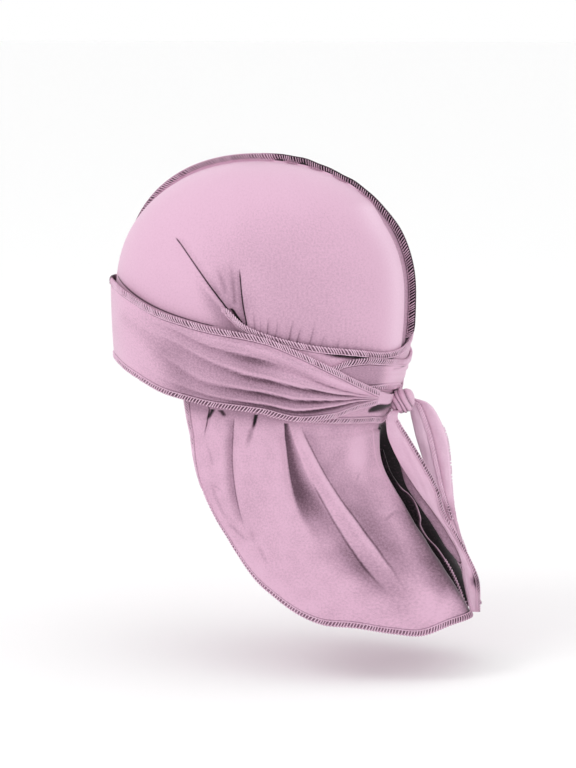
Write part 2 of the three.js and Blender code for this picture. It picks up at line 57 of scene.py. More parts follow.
STRIP_WIDTH = 9.5  # the pinched strip beside the crown's rear seam
HOLLOW_DEPTH, HOLLOW_WIDTH = 13.0, 5.5  # in the middle of the cape's back
CLOTH, TAIL_CLOTH = 0.8, 0.7  # one layer of jersey, and the same drawn out in the tie ends
LOOP_WIDTH, LOOP_HEIGHT = 0.9, 0.75  # its loops
HEM = 3.9  # width of an overlocked edge
NEEDLE_LINE = 4.15  # how far from the edge the seam's needle pulls the cloth in
STITCH = 2.0  # from one wrap of overlock thread to the next
THREAD = 0.4  # its radius
FAR = 9.0  # stands for every distance from a stitched edge that has no effect
MM = 0.001

# ---- the camera, at the photo's angle: from the left and a little from behind

AZIMUTH, ELEVATION = math.radians(106), math.radians(8)
DISTANCE = 1.71
PIXEL = 0.000668  # metres at the middle of the crown
PHOTO_MIDDLE, CROWN_MIDDLE = (288, 384), (262, 290)  # in the photo's pixels
BACK = Vector((math.sin(AZIMUTH), -math.cos(AZIMUTH), 0)) * math.cos(ELEVATION)
BACK.z = math.sin(ELEVATION)
RIGHT = Vector((math.cos(AZIMUTH), math.sin(AZIMUTH), 0))
UP = BACK.cross(RIGHT)
AIM = (RIGHT * (PHOTO_MIDDLE[0] - CROWN_MIDDLE[0]) - UP * (PHOTO_MIDDLE[1] - CROWN_MIDDLE[1])) * PIXEL


def placed(name, data):
    """A new object in the scene."""
    thing = bpy.data.objects.new(name, data)
    bpy.context.collection.objects.link(thing)
    return thing


lens = bpy.data.cameras.new("camera")
lens.lens, lens.sensor_width = 120, 36
camera = placed("camera", lens)
camera.matrix_world = Matrix.Translation(AIM + BACK * DISTANCE) @ Matrix((RIGHT, UP, BACK)).transposed().to_4x4()
bpy.context.scene.camera = camera

# ---- curves read from short tables


def table(names, *rows):
    """Rows of numbers under named columns."""
    return dict(zip(names.split(), np.array(rows, float).T))


def place_in(tab, at):
    """The row before each place and the share of the way to the next row."""
    at = np.asarray(at, float)
    row = np.clip(np.searchsorted(tab["at"], at) - 1, 0, len(tab["at"]) - 2)
    span = tab["at"][row + 1] - tab["at"][row]
    return row, span, np.clip((at - tab["at"][row]) / span, 0, 1)


def smooth(tab, column, at):
    """A smooth curve through the rows: a cubic whose slope at a row is that between its two neighbours."""
    row, span, share = place_in(tab, at)
    stops, values = tab["at"], tab[column]
    last = len(stops) - 1

    def slope(index):
        before, after = np.maximum(index - 1, 0), np.minimum(index + 1, last)
        return (values[after] - values[before]) / (stops[after] - stops[before])

    rise = values[row + 1] - values[row]
    start, end = slope(row) * span, slope(row + 1) * span
    bend = share * (1 - share)
    return values[row] + rise * share + bend * ((1 - share) * (start - rise) - share * (end - rise))


def ramp(value, low, high):
    """0 below low, 1 above high, an S curve between them."""
    share = np.clip((value - low) / (high - low), 0, 1)
    return share * share * (3 - 2 * share)


def window(value, *stops):
    """1 between the second and third stop, 0 outside the first and last, S curves between them."""
    return ramp(value, *stops[:2]) * (1 - ramp(value, *stops[2:]))


def eased(tab, column, at):
    """From row to row along an S curve, which never overshoots."""
    row, _, share = place_in(tab, at)
    values = tab[column]
    return values[row] + (values[row + 1] - values[row]) * ramp(share, 0, 1)


def hump(value, middle, width):
    """1 at the middle, falling off as a bell of that width."""
    return np.exp(-(((value - middle) / width) ** 2))


def ripple(u, v, length, seed, waves=7):
    """A soft random relief from -1 to 1: the mean of waves of about that length in random directions."""
    lot = np.random.default_rng(seed)
    total = 0
    for _ in range(waves):
        way, phase, scale = lot.uniform(0, 2 * np.pi), lot.uniform(0, 2 * np.pi), lot.uniform(0.7, 1.5)
        total = total + np.sin(2 * np.pi * (u * np.cos(way) + v * np.sin(way)) / (length * scale) + phase)
    return total / waves * 1.6


def near_line(x, y, line):
    """How far each place is from a line of points, and at which share of the line's length it comes nearest."""
    line = np.array(line, float)
    runs = np.diff(line, axis=0)
    lengths = np.hypot(*runs.T)
    starts = np.concatenate([[0], np.cumsum(lengths)])
    best = np.full(np.shape(x), np.inf)
    along = np.zeros_like(best)
    for (x0, y0), (dx, dy), length, start in zip(line, runs, lengths, starts):
        share = np.clip(((x - x0) * dx + (y - y0) * dy) / length**2, 0, 1)
        away = np.hypot(x - x0 - share * dx, y - y0 - share * dy)
        along = np.where(away < best, (start + share * length) / starts[-1], along)
        best = np.minimum(away, best)
    return best, along


# ---- the form that the cloth lies on


OVAL, DOME = 2.2, 2.15  # powers of the head's level and upright curves
# the half width, front and rear of the head at NAPE_DEPTH
NAPE_HALF, NAPE_FRONT, NAPE_REAR = HEAD_WIDTH / 2 * 0.88, FRONT_LENGTH * 0.92, REAR_LENGTH * 0.84
REACH = math.radians(HEAD_WIDTH / 2)  # millimetres along the side of the head for each degree


def section(turn, half_width, front, rear, height):
    """A level rounded oval, |x / half width| ** 2.2 + |y / length| ** 2.2 = 1, at a turn in degrees."""
    side, along = np.cos(np.radians(turn)), np.sin(np.radians(turn))
    length = np.where(along > 0, rear, front)
    radius = (np.abs(side / half_width) ** OVAL + np.abs(along / length) ** OVAL) ** (-1 / OVAL)
    return np.stack(np.broadcast_arrays(radius * side, radius * along, height), -1)


def on_head(turn, height, offset):
    """A rounded dome above the widest line, a taper below it, all grown outwards by the offset."""
    rise = np.clip(height / CROWN_HEIGHT, 0, 1)
    dome = (1 - rise**DOME) ** (1 / DOME)
    depth = np.clip(-height / NAPE_DEPTH, 0, 1)
    half_width = HEAD_WIDTH / 2 * (1 - 0.12 * depth**2)
    front = FRONT_LENGTH * (1 - 0.02 * (2 * depth) ** 2)
    rear = REAR_LENGTH * (1 - 0.16 * depth**2.2) - 3.5 * hump(depth, 0.78, 0.22)
    lifted = height + offset * rise
    return section(turn, (half_width + offset) * dome, (front + offset) * dome, (rear + offset) * dome, lifted)


# ---- meshes


def way(points):
    """Unit vectors."""
    return points / np.maximum(np.linalg.norm(points, axis=-1, keepdims=True), 1e-9)


def grid_normals(points):
    """The cross product of a grid's two directions."""
    return way(np.cross(np.gradient(points, axis=0), np.gradient(points, axis=1)))


def outward(points):
    """A grid's normals, turned away from the upright axis."""
    normal = grid_normals(points)
    return normal * np.sign(np.sum(normal * points * np.array([1, 1, 0]), -1, keepdims=True))


def gaps(points, axis=0):
    """Distances between neighbours along a line or one way of a grid."""
    return np.linalg.norm(np.diff(points, axis=axis), axis=-1)


def surface(name, points, shade, knit, finish, ring=False, inside=(0, 0, -20), rim=FAR):
    """Quads between the neighbours of a grid of points in millimetres, facing away from the inside. ring joins its
    last column to its first and closes both ends. shade is the painted light and shade at each point, knit its
    place on the fabric, and rim how far it is from a stitched edge, in millimetres."""
    rows, columns = points.shape[:2]
    index = np.arange(rows * columns).reshape(rows, columns)
    if ring:
        index = np.concatenate([index, index[:, :1]], 1)
    quads = np.stack([index[:-1, :-1], index[1:, :-1], index[1:, 1:], index[:-1, 1:]], -1).reshape(-1, 4)
    corners = points.reshape(-1, 3)[quads]
    middle = np.broadcast_to(np.array(inside), points.shape).reshape(-1, 3)[quads].mean(1)
    face = np.cross(corners[:, 2] - corners[:, 0], corners[:, 3] - corners[:, 1])
    faces = quads.tolist() + ([index[0, :-1].tolist(), index[-1, -2::-1].tolist()] if ring else [])
    if np.sum(face * (corners.mean(1) - middle)) < 0:
        faces = [corner[::-1] for corner in faces]
    mesh = bpy.data.meshes.new(name)
    mesh.from_pydata(points.reshape(-1, 3) * MM, [], faces)
    for label, values in (("shade", shade), ("rim", np.minimum(rim, FAR))):
        column = mesh.attributes.new(label, "FLOAT", "POINT")
        column.data.foreach_set("value", np.broadcast_to(values, points.shape[:2]).astype(np.float32).ravel())
    spots = np.empty(len(mesh.loops), np.int32)
    mesh.loops.foreach_get("vertex_index", spots)
    places = np.broadcast_to(knit, (*points.shape[:2], 2)).reshape(-1, 2)
    mesh.uv_layers.new(name="knit").data.foreach_set("uv", places[spots].astype(np.float32).ravel())
    mesh.shade_smooth()
    mesh.materials.append(finish)
    piece = placed(name, mesh)
    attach(piece, "root")
    return piece


def thicken(piece, thickness=CLOTH):
    """The cloth's thickness lies inside the surface."""
    wall = piece.modifiers.new("thickness", "SOLIDIFY")
    wall.thickness = thickness * MM
    wall.offset = -1
    return piece


def tube(name, line, ahead, radius, tone, spots):
    """A five-sided tube round a line, its sides square to the line's run."""
    run = way(np.gradient(line, axis=0))
    one = way(np.cross(run, ahead))
    around = np.linspace(0, 2 * np.pi, 6)[:-1][:, None]
    ring = one[:, None] * np.cos(around) + np.cross(run, one)[:, None] * np.sin(around)
    knit = np.stack(np.broadcast_arrays(spots[:, None], around.T), -1)
    points = line[:, None] + ring * radius
    return surface(name, points, tone[:, None], knit, thread_finish, ring=True, inside=line[:, None])


def overlock(name, edge, inward, outward, shade=0.4, width=HEM, lift=0.8, pitch=STITCH, radius=THREAD, seed=1):
    """A stitched edge. One thread winds round it: across it is width * (0.5 - 0.5 cos), up and down lift * sin, and
    it runs ahead as it goes inwards, so that the stitches slant. A second one dips in and out along their inner
    ends. Both are a little uneven."""
    length = np.concatenate([[0], np.cumsum(gaps(edge))])
    wraps = max(int(length[-1] / pitch), 2)

    def follow(values, spots):
        return np.stack([np.interp(spots, length, values[:, axis]) for axis in range(3)], -1)

    pieces = []
    for part, steps in (("overlock", 12), ("chain", 6)):
        turns = np.linspace(0, wraps, wraps * steps + 1)
        phase = 2 * np.pi * turns
        uneven = ripple(turns, 0, 5, seed)
        swing = 0.5 - 0.5 * np.cos(phase)
        even = turns / wraps * length[-1]
        slant = 0.8 * pitch * swing if part == "overlock" else 0
        spots = np.clip(even + slant * (1 + 0.3 * uneven) + 0.3 * pitch * uneven, 0, length[-1])
        into = way(follow(inward, spots))
        if part == "overlock":
            across = (width - 0.6) * (1 + 0.1 * uneven) * swing - 0.2
            up = lift * np.sin(phase) - 0.25
            side, thick, lighter = way(np.gradient(follow(edge, even), axis=0)), radius, 0
        else:
            across = np.full_like(phase, width - 0.5) + 0.12 * uneven
            up = 0.15 + 0.45 * np.sin(phase)
            side, thick, lighter = into, 0.8 * radius, 0.12
        line = follow(edge, spots) + into * across[:, None] + way(follow(outward, spots)) * up[:, None]
        # the threads carry the painted light and shade given along the edge, and a random unevenness
        tone = np.interp(spots, length, np.broadcast_to(shade, length.shape)) + 0.2 * uneven + lighter
        pieces.append(tube(f"{name}_{part}", line, side, thick, tone, spots))
    return pieces


# ---- finishes


class Value:
    """A socket whose value varies over a surface; + - * / and the rest make Math nodes."""

    def __init__(self, finish, socket):
        self.finish, self.socket = finish, socket

    def math(self, operation, first, second=0.0):
        return self.finish.add("ShaderNodeMath", {"operation": operation}, {0: first, 1: second}).out()

    def __add__(self, other):
        return self.math("ADD", self, other)

    def __sub__(self, other):
        return self.math("SUBTRACT", self, other)

    def __rsub__(self, other):
        return self.math("SUBTRACT", other, self)

    def __mul__(self, other):
        return self.math("MULTIPLY", self, other)

    def __truediv__(self, other):
        return self.math("DIVIDE", self, other)

    def sine(self):
        return self.math("SINE", self)

    def size(self):
        return self.math("ABSOLUTE", self)

    def between(self, low, high):
        """0 at low, 1 at high, an S curve between them, whichever is larger."""
        sockets = {0: self, 1: float(low), 2: float(high), 3: 0.0, 4: 1.0}
        return self.finish.add("ShaderNodeMapRange", {"interpolation_type": "SMOOTHSTEP"}, sockets).out()

    __radd__, __rmul__ = __add__, __mul__


class Node:
    """A node, with its outputs as values."""

    def __init__(self, finish, node):
        self.finish, self.node = finish, node

    def out(self, name=0):
        return Value(self.finish, self.node.outputs[name])


class Finish:
    """One material. add() is the only way that a node is made: type, settings first, then sockets."""

    def __init__(self, name):
        self.material = bpy.data.materials.new(name)
        self.material.use_nodes = True
        self.tree = self.material.node_tree
        self.tree.nodes.clear()

    def add(self, kind, settings=None, sockets=None):
        node = self.tree.nodes.new(kind)
        for key, value in (settings or {}).items():
            if key == "stops":
                while len(node.color_ramp.elements) < len(value):
                    node.color_ramp.elements.new(0.5)
                for stop, (spot, colour) in zip(node.color_ramp.elements, value):
                    stop.position, stop.color = spot, (*colour, 1)
            else:
                setattr(node, key, value)
        for key, value in (sockets or {}).items():
            if isinstance(value, Value):
                self.tree.links.new(value.socket, node.inputs[key])
            else:
                node.inputs[key].default_value = value
        return Node(self, node)


def linear(*colour):
    """A screen colour, 0 to 255, as linear light."""
    share = np.array(colour) / 255
    return tuple(float(x) for x in np.where(share < 0.04045, share / 12.92, ((share + 0.055) / 1.055) ** 2.4))


# The pink painted from deep shade to full light, at shade -1, -0.65, -0.3, 0 and 1
PINK_FROM_SHADE_TO_LIGHT = [
    (0.0, linear(20, 14, 18)),
    (0.175, linear(106, 77, 94)),
    (0.35, linear(178, 141, 163)),
    (0.5, linear(220, 178, 202)),
    (1.0, linear(252, 220, 240)),
]


def fold(points, dark, width, ends=(0.3, 0.05), soft=0.0, reach=5.0, side=1, depth=0.0, edge=None):
    """A fold line through places (turn, height). dark is its shade and width how far that spreads either way; soft
    and reach are the shadow on one side of it, 1 the rear one. ends are the shares of its length over which it
    fades at its first and last place. With an edge, the shadow lies between the line and that second line. depth
    is the dent in the cloth."""
    return dict(
        points=points, dark=dark, width=width, ends=ends, soft=soft, reach=reach, side=side, depth=depth, edge=edge,
    )


def carried(v, points):
    """A cubic of the height, which gives the place across in millimetres."""
    turn, height = np.array(points, float).T
    terms = np.polyfit(height, turn * REACH, min(len(points) - 1, 3))
    line = float(terms[0])
    for term in terms[1:]:
        line = v * line + float(term)
    return line


def drawn(u, v, folds):
    """How much painted shade the fold lines put on each place; a negative dark is a painted highlight."""
    total = 0.0
    for line in folds:
        (first, start), (last, end) = line["points"][0], line["points"][-1]
        slant = math.hypot(1, (last - first) * REACH / (end - start))
        here = u - carried(v, line["points"])
        if line["edge"]:
            share = here / (carried(v, line["edge"]) - carried(v, line["points"]))
            dark = share.between(-0.2, 0.12) * share.between(1.35, 0.2) * share.between(1.05, 0.95) * line["dark"]
        else:
            away = here * (line["side"] / slant)
            dark = away.size().between(line["width"], 0) * line["dark"]
            if line["soft"]:
                dark = dark + away.between(-line["width"], 0.2) * away.between(line["reach"], 0) * line["soft"]
        along = (v - start) * (1 / (end - start))
        total = dark * along.between(0, line["ends"][0]) * along.between(1, 1 - line["ends"][1]) + total
    return total


def attribute(finish, label):
    return finish.add("ShaderNodeAttribute", {"attribute_name": label}).out("Fac")


def noise(finish, uv, scale, detail, roughness=0.5):
    sockets = {"Vector": uv, "Scale": scale, "Detail": detail, "Roughness": roughness}
    return finish.add("ShaderNodeTexNoise", {"noise_dimensions": "2D"}, sockets).out(0)


def yarn(finish, level, height, strength, distance, **look):
    """The pink from painted shade at level 0 to light at 1, a fine relief, and what the shader's other sockets are set
    to.
    """
    colour = finish.add("ShaderNodeValToRGB", {"stops": PINK_FROM_SHADE_TO_LIGHT}, {0: level}).out(0)
    relief = {"Strength": strength, "Distance": distance * MM, "Height": height}
    normal = finish.add("ShaderNodeBump", None, relief).out()
    sockets = {label.replace("_", " "): value for label, value in look.items()}
    sockets |= {"Base Color": colour, "Normal": normal}
    finish.add("ShaderNodeOutputMaterial", None, {0: finish.add("ShaderNodeBsdfPrincipled", None, sockets).out()})
    return finish.material


def jersey(name, speckle, folds=(), holes=0.55, tone=None):
    """Fine knit: rows of loops, a fine uneven grain, fold lines of painted shade and highlight, and a soft sheen. holes
    is the painted shade between the stitches of a hem, and tone one painted shade for all of it in place of the
    surface's own."""
    finish = Finish(name)
    if tone is None:
        tone = attribute(finish, "shade")
    uv = finish.add("ShaderNodeUVMap", {"uv_map": "knit"}).out()
    apart = finish.add("ShaderNodeSeparateXYZ", None, {0: uv})
    u, v = apart.out("X"), apart.out("Y")
    loops = (u * (2 * math.pi / LOOP_WIDTH)).sine() * (v * (2 * math.pi / LOOP_HEIGHT)).sine()
    fine = noise(finish, uv, 0.75, 3.0, 0.75)
    broad = noise(finish, uv, 0.05, 3.0)
    rim = attribute(finish, "rim")
    # a painted shadow along the needle line, painted shade between the stitches and over the hem band, and the fold
    # lines
    needle_shadow = (rim - NEEDLE_LINE).size().between(0.45, 0.1) * 0.3
    between = rim.between(0.5, 0.9) * rim.between(3.3, 2.7) * (fine * (3.2 * holes) - 0.7 * holes)
    shadow = drawn(u, v, folds) + needle_shadow + between + rim.between(3.9, 3.4) * 0.14
    level = (fine - 0.5) * speckle + tone * 0.5 + 0.5 + (broad - 0.5) * 0.03 + loops * 0.012 - shadow * 0.5
    return yarn(
        finish, level, loops * 0.4 + fine - shadow * 6, 0.6, 0.08, Roughness=0.7, Specular_IOR_Level=0.2,
        Sheen_Weight=0.4, Sheen_Roughness=0.4, Sheen_Tint=(1.0, 0.93, 0.97, 1.0),
    )


def thread(name):
    """Overlock yarn: twisted strands as fine slanting lines along it."""
    finish = Finish(name)
    uv = finish.add("ShaderNodeUVMap", {"uv_map": "knit"}).out()
    apart = finish.add("ShaderNodeSeparateXYZ", None, {0: uv})
    strands = (apart.out("X") * 9 + apart.out("Y") * 2).sine()
    level = attribute(finish, "shade") * 0.5 + 0.5 + strands * 0.02 + (noise(finish, uv, 0.7, 2.0) - 0.5) * 0.12
    return yarn(
        finish, level, strands, 0.5, 0.1, Roughness=0.6, Specular_IOR_Level=0.25, Sheen_Weight=0.2, Sheen_Roughness=0.5,
    )


# Fold lines of painted shade on the crown; where dark is below 0 they are painted highlights
CROWN_FOLDS = [
    fold([(-31, 39.6), (-23, 29.8), (-15.6, 20.6), (-8.8, 9.6), (-3.2, -0.2), (0.6, -5)],
         0.75, 0.85, (0.05, 0.02), 0.12, 6, depth=1.2),
    fold([(1.8, -3.7), (4.6, -9.4), (7.6, -14.8)], 0.75, 1.1, (0.1, 0.02), 0.25, 4, -1, 1.4),
    fold([(5.6, 22.6), (6.4, 11.1), (7, 4.7), (8, -5.3), (9.5, -15.1)], 0.7, 0.75, (0.2, 0.02), 0.2, 4.5, -1, 1.2),
    fold([(-6, 23), (-3, 13.7), (-0.5, 3)], 0.16, 2.6, (0.5, 0.2), 0.0, 5, 1, 0.8),
    fold([(0.5, 28.9), (2.5, 13.9), (3.7, -3)], 0.16, 2.2, (0.6, 0.1), 0.06, 5, -1, 0.8),
    fold([(-8, 12), (-3.4, 3)], 0.1, 2.0, (0.5, 0.3)),
    fold([(-15.5, 15.8), (-7.5, 3.5), (-2.5, -3.9)], -0.14, 2.2, (0.5, 0.1)),
    fold([(12.4, -4), (13.2, -17)], 0.14, 0.9, (0.6, 0.02), 0.04, 3, 1, 0.4),
    fold([(15.6, -6), (16, -19)], 0.12, 0.8, (0.7, 0.02), 0.0, 3, 1, 0.4),
    fold([(19.6, -8), (19, -20)], 0.2, 0.8, (0.6, 0.02), 0.06, 3, 1, 0.5),
    fold([(24, -9), (22.6, -22)], 0.12, 0.8, (0.7, 0.02), 0.05, 3, 1, 0.4),
    fold([(30.6, -8), (28.6, -24.5)], 0.16, 0.9, (0.7, 0.02), 0.08, 4, 1, 0.5),
    fold([(34, -14), (32, -25.6)], 0.2, 0.8, (0.6, 0.02), 0.05, 3, 1, 0.5),
    fold([(39.6, -12), (37.4, -27)], 0.16, 0.9, (0.6, 0.02), 0.06, 4, 1, 0.5),
    fold([(44, -18), (42.2, -28)], 0.1, 0.9, (0.7, 0.02), 0.03, 3, 1, 0.3),
    fold([(50, -20), (49, -29.5)], 0.08, 1.0, (0.7, 0.02), 0.03, 3, 1, 0.3),
    # the thin shadow above the outer tie
    fold([(-69, 10.6), (-58, 4.7), (-48.5, 0), (-39, -4.6), (-26, -10.7), (-16, -13.6), (-6, -16)],
         0.7, 0.9, (0.02, 0.02), 0.12, 3),
]
LARGE_FOLDS = slice(5, 12)  # those that the cape's hidden half has too
# Fold lines and wedges of painted shade on the cape; where dark is below 0 they are painted highlights
CAPE_FOLDS = [
    fold([(-9.3, -70.5), (-14, -79)], 0.8, 2.2, (0.05, 0.5)),
    fold([(-11.5, -69), (-13.5, -77.6), (-16.5, -92)], 0.5, 0.8, (0.02, 0.5), 0.12, 4, 1, 1.6),
    fold([(-5.5, -71), (-3.2, -76)], 0.6, 2.6, (0.05, 0.5), 0.0, 5, 1, 1.2),
    fold([(13.6, -73), (11.4, -85)], 0.95, 1.9, (0.02, 0.6), 0.1, 5, -1, 1.6),
    fold([(11.6, -80), (7.6, -98)], 0.28, 3.0, (0.3, 0.6)),
    fold([(2.2, -74), (0.2, -92.8), (0, -108.3), (1.5, -124.5), (5, -138), (8.5, -152)],
         0.2, 0.9, (0.1, 0.3), 0.27, 8, -1, 1.6),
    fold([(27.6, -78), (29.5, -95.7), (31.5, -115.3), (33.8, -130), (38, -146), (45, -160.7)], 0.66, 1, (0.02, 0.45),
         depth=2.6, edge=[(29.6, -78), (33.9, -95.7), (38.6, -112.5), (42.4, -125), (48.5, -143), (57, -161)]),
    fold([(27.6, -78), (29.5, -95.7), (31.5, -115.3), (33.8, -130), (38, -146)], 0.25, 0.8, (0.02, 0.6)),
    fold([(39.5, -114.6), (45.5, -132), (50, -147), (54, -161), (60, -180.9), (64.5, -194)],
         0.24, 1.1, (0.15, 0.3), 0.2, 10, -1, 0.8),
    fold([(35.5, -79), (39, -91.7), (43.5, -103.5), (49, -118), (53.5, -131), (59, -148.7), (63.4, -164),
          (68.5, -192.7)], 0.26, 1.1, (0.1, 0.3), 0.2, 13, depth=0.8),
    fold([(33.5, -80), (37, -91.7), (41.5, -103.5), (47, -118), (51.5, -131), (57, -148.7), (61.4, -164), (66, -185)],
         -0.12, 3.2, (0.1, 0.3), depth=-2.0),
    fold([(69, -146), (79, -139.5)], 0.1, 1.5, (0.3, 0.4), 0.06, 5, 1, 0.8),
    fold([(62, -120), (66, -113)], 0.1, 1.4, (0.4, 0.4), depth=0.4),
    fold([(77, -84), (77.6, -107.2), (80.5, -123)], -0.16, 1.3, (0.1, 0.3)),
    fold([(-12, -120), (-4, -126)], 0.1, 1.5, (0.3, 0.4), depth=0.9),
    fold([(-12, -118), (-7.5, -133), (-1, -146)], 0.09, 1.9, (0.3, 0.3), 0.05, 4, 1, 0.9),
    fold([(-2.5, -144), (9, -157.5)], 0.1, 2.0, (0.3, 0.3), 0.06, 4, 1, 0.9),
    fold([(-4.5, -138), (6, -150)], 0.07, 2.2, (0.4, 0.4), -0.05, 5, 1, 0.9),
    fold([(10.5, -149), (12.8, -158)], 0.09, 2.1, (0.4, 0.4), depth=0.9),
    fold([(14, -157), (20, -174)], 0.08, 2.3, (0.3, 0.5), 0.05, 4, -1, 1.0),
    fold([(-15.5, -91.7), (-10, -111)], 0.07, 1.6, (0.4, 0.4), 0.05, 5, 1, 0.8),
]

crown_finish = jersey("jersey_crown", 0.2, CROWN_FOLDS)
hidden_side_finish = jersey("jersey_crown_right", 0.2, CROWN_FOLDS[:-1])  # without the shadow above the tie
tie_finish = jersey("jersey_tie", 0.26, holes=0.3)
cape_finish = jersey("jersey_cape", 0.22, CAPE_FOLDS, 0.34)
# the inside of the cape: one even, slightly dark painted shade in place of the outside's painted light and shade
lining_finish = jersey("jersey_inside", 0.22, holes=0.34, tone=-0.12)
thread_finish = thread("overlock_thread")


def near_places(turn, height, places):
    """near_line over the cloth, for a line through places (turn, height)."""
    return near_line(turn * REACH, height, [(t * REACH, h) for t, h in places])


def dents(turn, height, folds):
    """How deep the folds lie in the cloth: each is a groove with sides that fall off over a few millimetres."""
    total = np.zeros_like(turn)
    for line in folds:
        if line["depth"]:
            away, along = near_places(turn, height, line["points"])
            wide = 1.6 * line["width"] + (1.2 if line["edge"] is None else 2.6)
            first, last = line["ends"]
            ends = ramp(along, 0, first + 0.1) * ramp(1 - along, 0, last + 0.1)
            total += line["depth"] * hump(away, 0, wide) * ends
    return total


# ---- the two ties. A place is the turn from a tie's own side towards the rear (90 the nape, 270 the face, 450
# the knot), level the upper edge, width a share of TIE_WIDTH, layer the layers of cloth below

LEFT_TIE = table(
    "at level width layer fold",
    (-6, -0.02, 0.4, -0.8, 0), (-2, -0.04, 0.55, -0.1, 0), (1, -0.062, 0.68, 0.9, 0), (5, -0.118, 0.8, 1.2, 0),
    (9, -0.168, 0.84, 1, 0), (20, -0.236, 0.88, 1, 0), (38, -0.309, 0.84, 1, 0), (56, -0.354, 0.81, 1, 0),
    (72, -0.396, 0.78, 1, 0), (86, -0.376, 0.84, 1, 0),
    (100, -0.3, 0.78, 1, 0), (116, -0.18, 0.52, 1, 0), (130, -0.08, 0.33, 1, 0), (144, -0.03, 0.31, 3, 0),
    (158, -0.04, 0.58, 3, 0), (174, -0.1, 0.86, 3, 0), (188, -0.14, 0.9, 3, 0), (208, -0.1, 0.9, 3, 0),
    (228, -0.03, 0.86, 3, 0), (250, 0.045, 0.88, 2.6, 0), (270, 0.088, 0.88, 2.2, 0), (293, 0.09, 0.89, 2.4, 0),
    (308, 0.032, 0.9, 3, 0), (326, -0.08, 0.9, 3, 0.1), (340, -0.138, 0.885, 3, 0.4), (352, -0.18, 0.87, 3, 0.7),
    (377, -0.247, 0.83, 3, 0.95), (392, -0.35, 0.76, 3, 1), (408, -0.494, 0.53, 3, 1),
    (419, -0.594, 0.31, 3, 0.8), (430, -0.675, 0.16, 3.2, 0.4), (440, -0.722, 0.12, 3.2, 0.1),
    (446, -0.735, 0.1, 2.8, 0),
)
RIGHT_TIE = table(
    "at level width layer fold",
    (-4, -0.1, 0.68, 1, 0), (9, -0.168, 0.84, 1, 0), (20, -0.236, 0.88, 1, 0), (36, -0.305, 0.84, 1, 0),
    (50, -0.36, 0.78, 2, 0), (64, -0.41, 0.62, 2, 0), (78, -0.455, 0.44, 2, 0.3), (90, -0.485, 0.33, 2, 0.4),
    (104, -0.455, 0.33, 2, 0.3), (112, -0.435, 0.35, 2, 0.1), (119, -0.42, 0.37, 2, 0), (128, -0.43, 0.4, 2, 0),
    (134, -0.47, 0.42, 2, 0), (150, -0.44, 0.54, 2, 0), (170, -0.32, 0.66, 2, 0), (188, -0.25, 0.7, 2, 0),
    (208, -0.18, 0.7, 2, 0), (228, -0.1, 0.7, 2, 0), (250, -0.01, 0.7, 1.6, 0), (270, 0.03, 0.72, 1.2, 0),
    (290, 0.02, 0.74, 1.4, 0), (312, -0.06, 0.74, 2, 0), (334, -0.16, 0.76, 2, 0), (354, -0.21, 0.8, 2, 0),
    (377, -0.27, 0.8, 2, 0), (390, -0.35, 0.75, 2, 0), (408, -0.5, 0.53, 3, 1), (419, -0.6, 0.31, 3, 0.8),
    (430, -0.675, 0.15, 3.2, 0.4), (440, -0.722, 0.12, 3.2, 0.1), (446, -0.735, 0.1, 2.8, 0),
)

STITCHED = 431  # the turn at which a tie's stitched edges go into the knot

# Shares of a tie's width at which the valleys between its long folds lie
VALLEYS = table(
    "at a b c d",
    (320, 0.16, 0.3, 0.45, 0.8), (334, 0.15, 0.3, 0.58, 0.83), (347, 0.22, 0.4, 0.7, 0.86),
    (359, 0.26, 0.475, 0.72, 0.88), (372, 0.28, 0.535, 0.725, 0.88), (392, 0.3, 0.5, 0.685, 0.845),
    (401, 0.34, 0.48, 0.65, 0.8), (411, 0.38, 0.485, 0.61, 0.73), (424, 0.42, 0.5, 0.58, 0.67),
    (446, 0.4, 0.5, 0.6, 0.72),
)


def upper_edge(tab, at):
    """Height of a tie's upper edge."""
    level = smooth(tab, "level", at)
    return level * np.where(level > 0, CROWN_HEIGHT, NAPE_DEPTH)


def pleats(at, across):
    """Long folds: a ridge is |sin| of a phase that passes one more valley at each of their places. Returns the ridge,
    0 in a valley and 1 on top, finer wrinkles that run along it, and the shadow below and light above each valley."""
    stops = [np.zeros_like(at), *(smooth(VALLEYS, name, at) for name in "abcd"), np.ones_like(at)]
    sway = across + 0.004 * np.sin(at / 9)
    phase = sum(np.clip((sway - low) / (high - low), 0, 1) for low, high in zip(stops, stops[1:]))
    ridge = np.abs(np.sin(np.pi * phase)) ** (1.3 - 0.6 * ramp(at, 372, 418))
    below = np.where(phase > 0.9, (phase + 0.04) % 1, 1)
    first = phase < 1.95
    faint = np.where(first, 1 - 0.9 * ramp(at, 370, 390) + 0.6 * ramp(at, 396, 406), 1)
    spread = 0.5 - 0.25 * first * ramp(at, 380, 400)
    shadow = faint * ramp(below, 0, 0.08) * np.exp(-((below / spread) ** 1.6))
    light = hump(below, 0.9, 0.1) * (phase < 4.2) * (phase > 0.5) * np.where(phase < 1.2, faint, 1)
    fine = 0.5 * np.sin(2 * np.pi * (2.2 * phase + 0.35 * np.sin(at / 17)))
    fine += 0.35 * np.sin(2 * np.pi * (3.3 * phase + at / 80))
    return ridge, fine, shadow, light


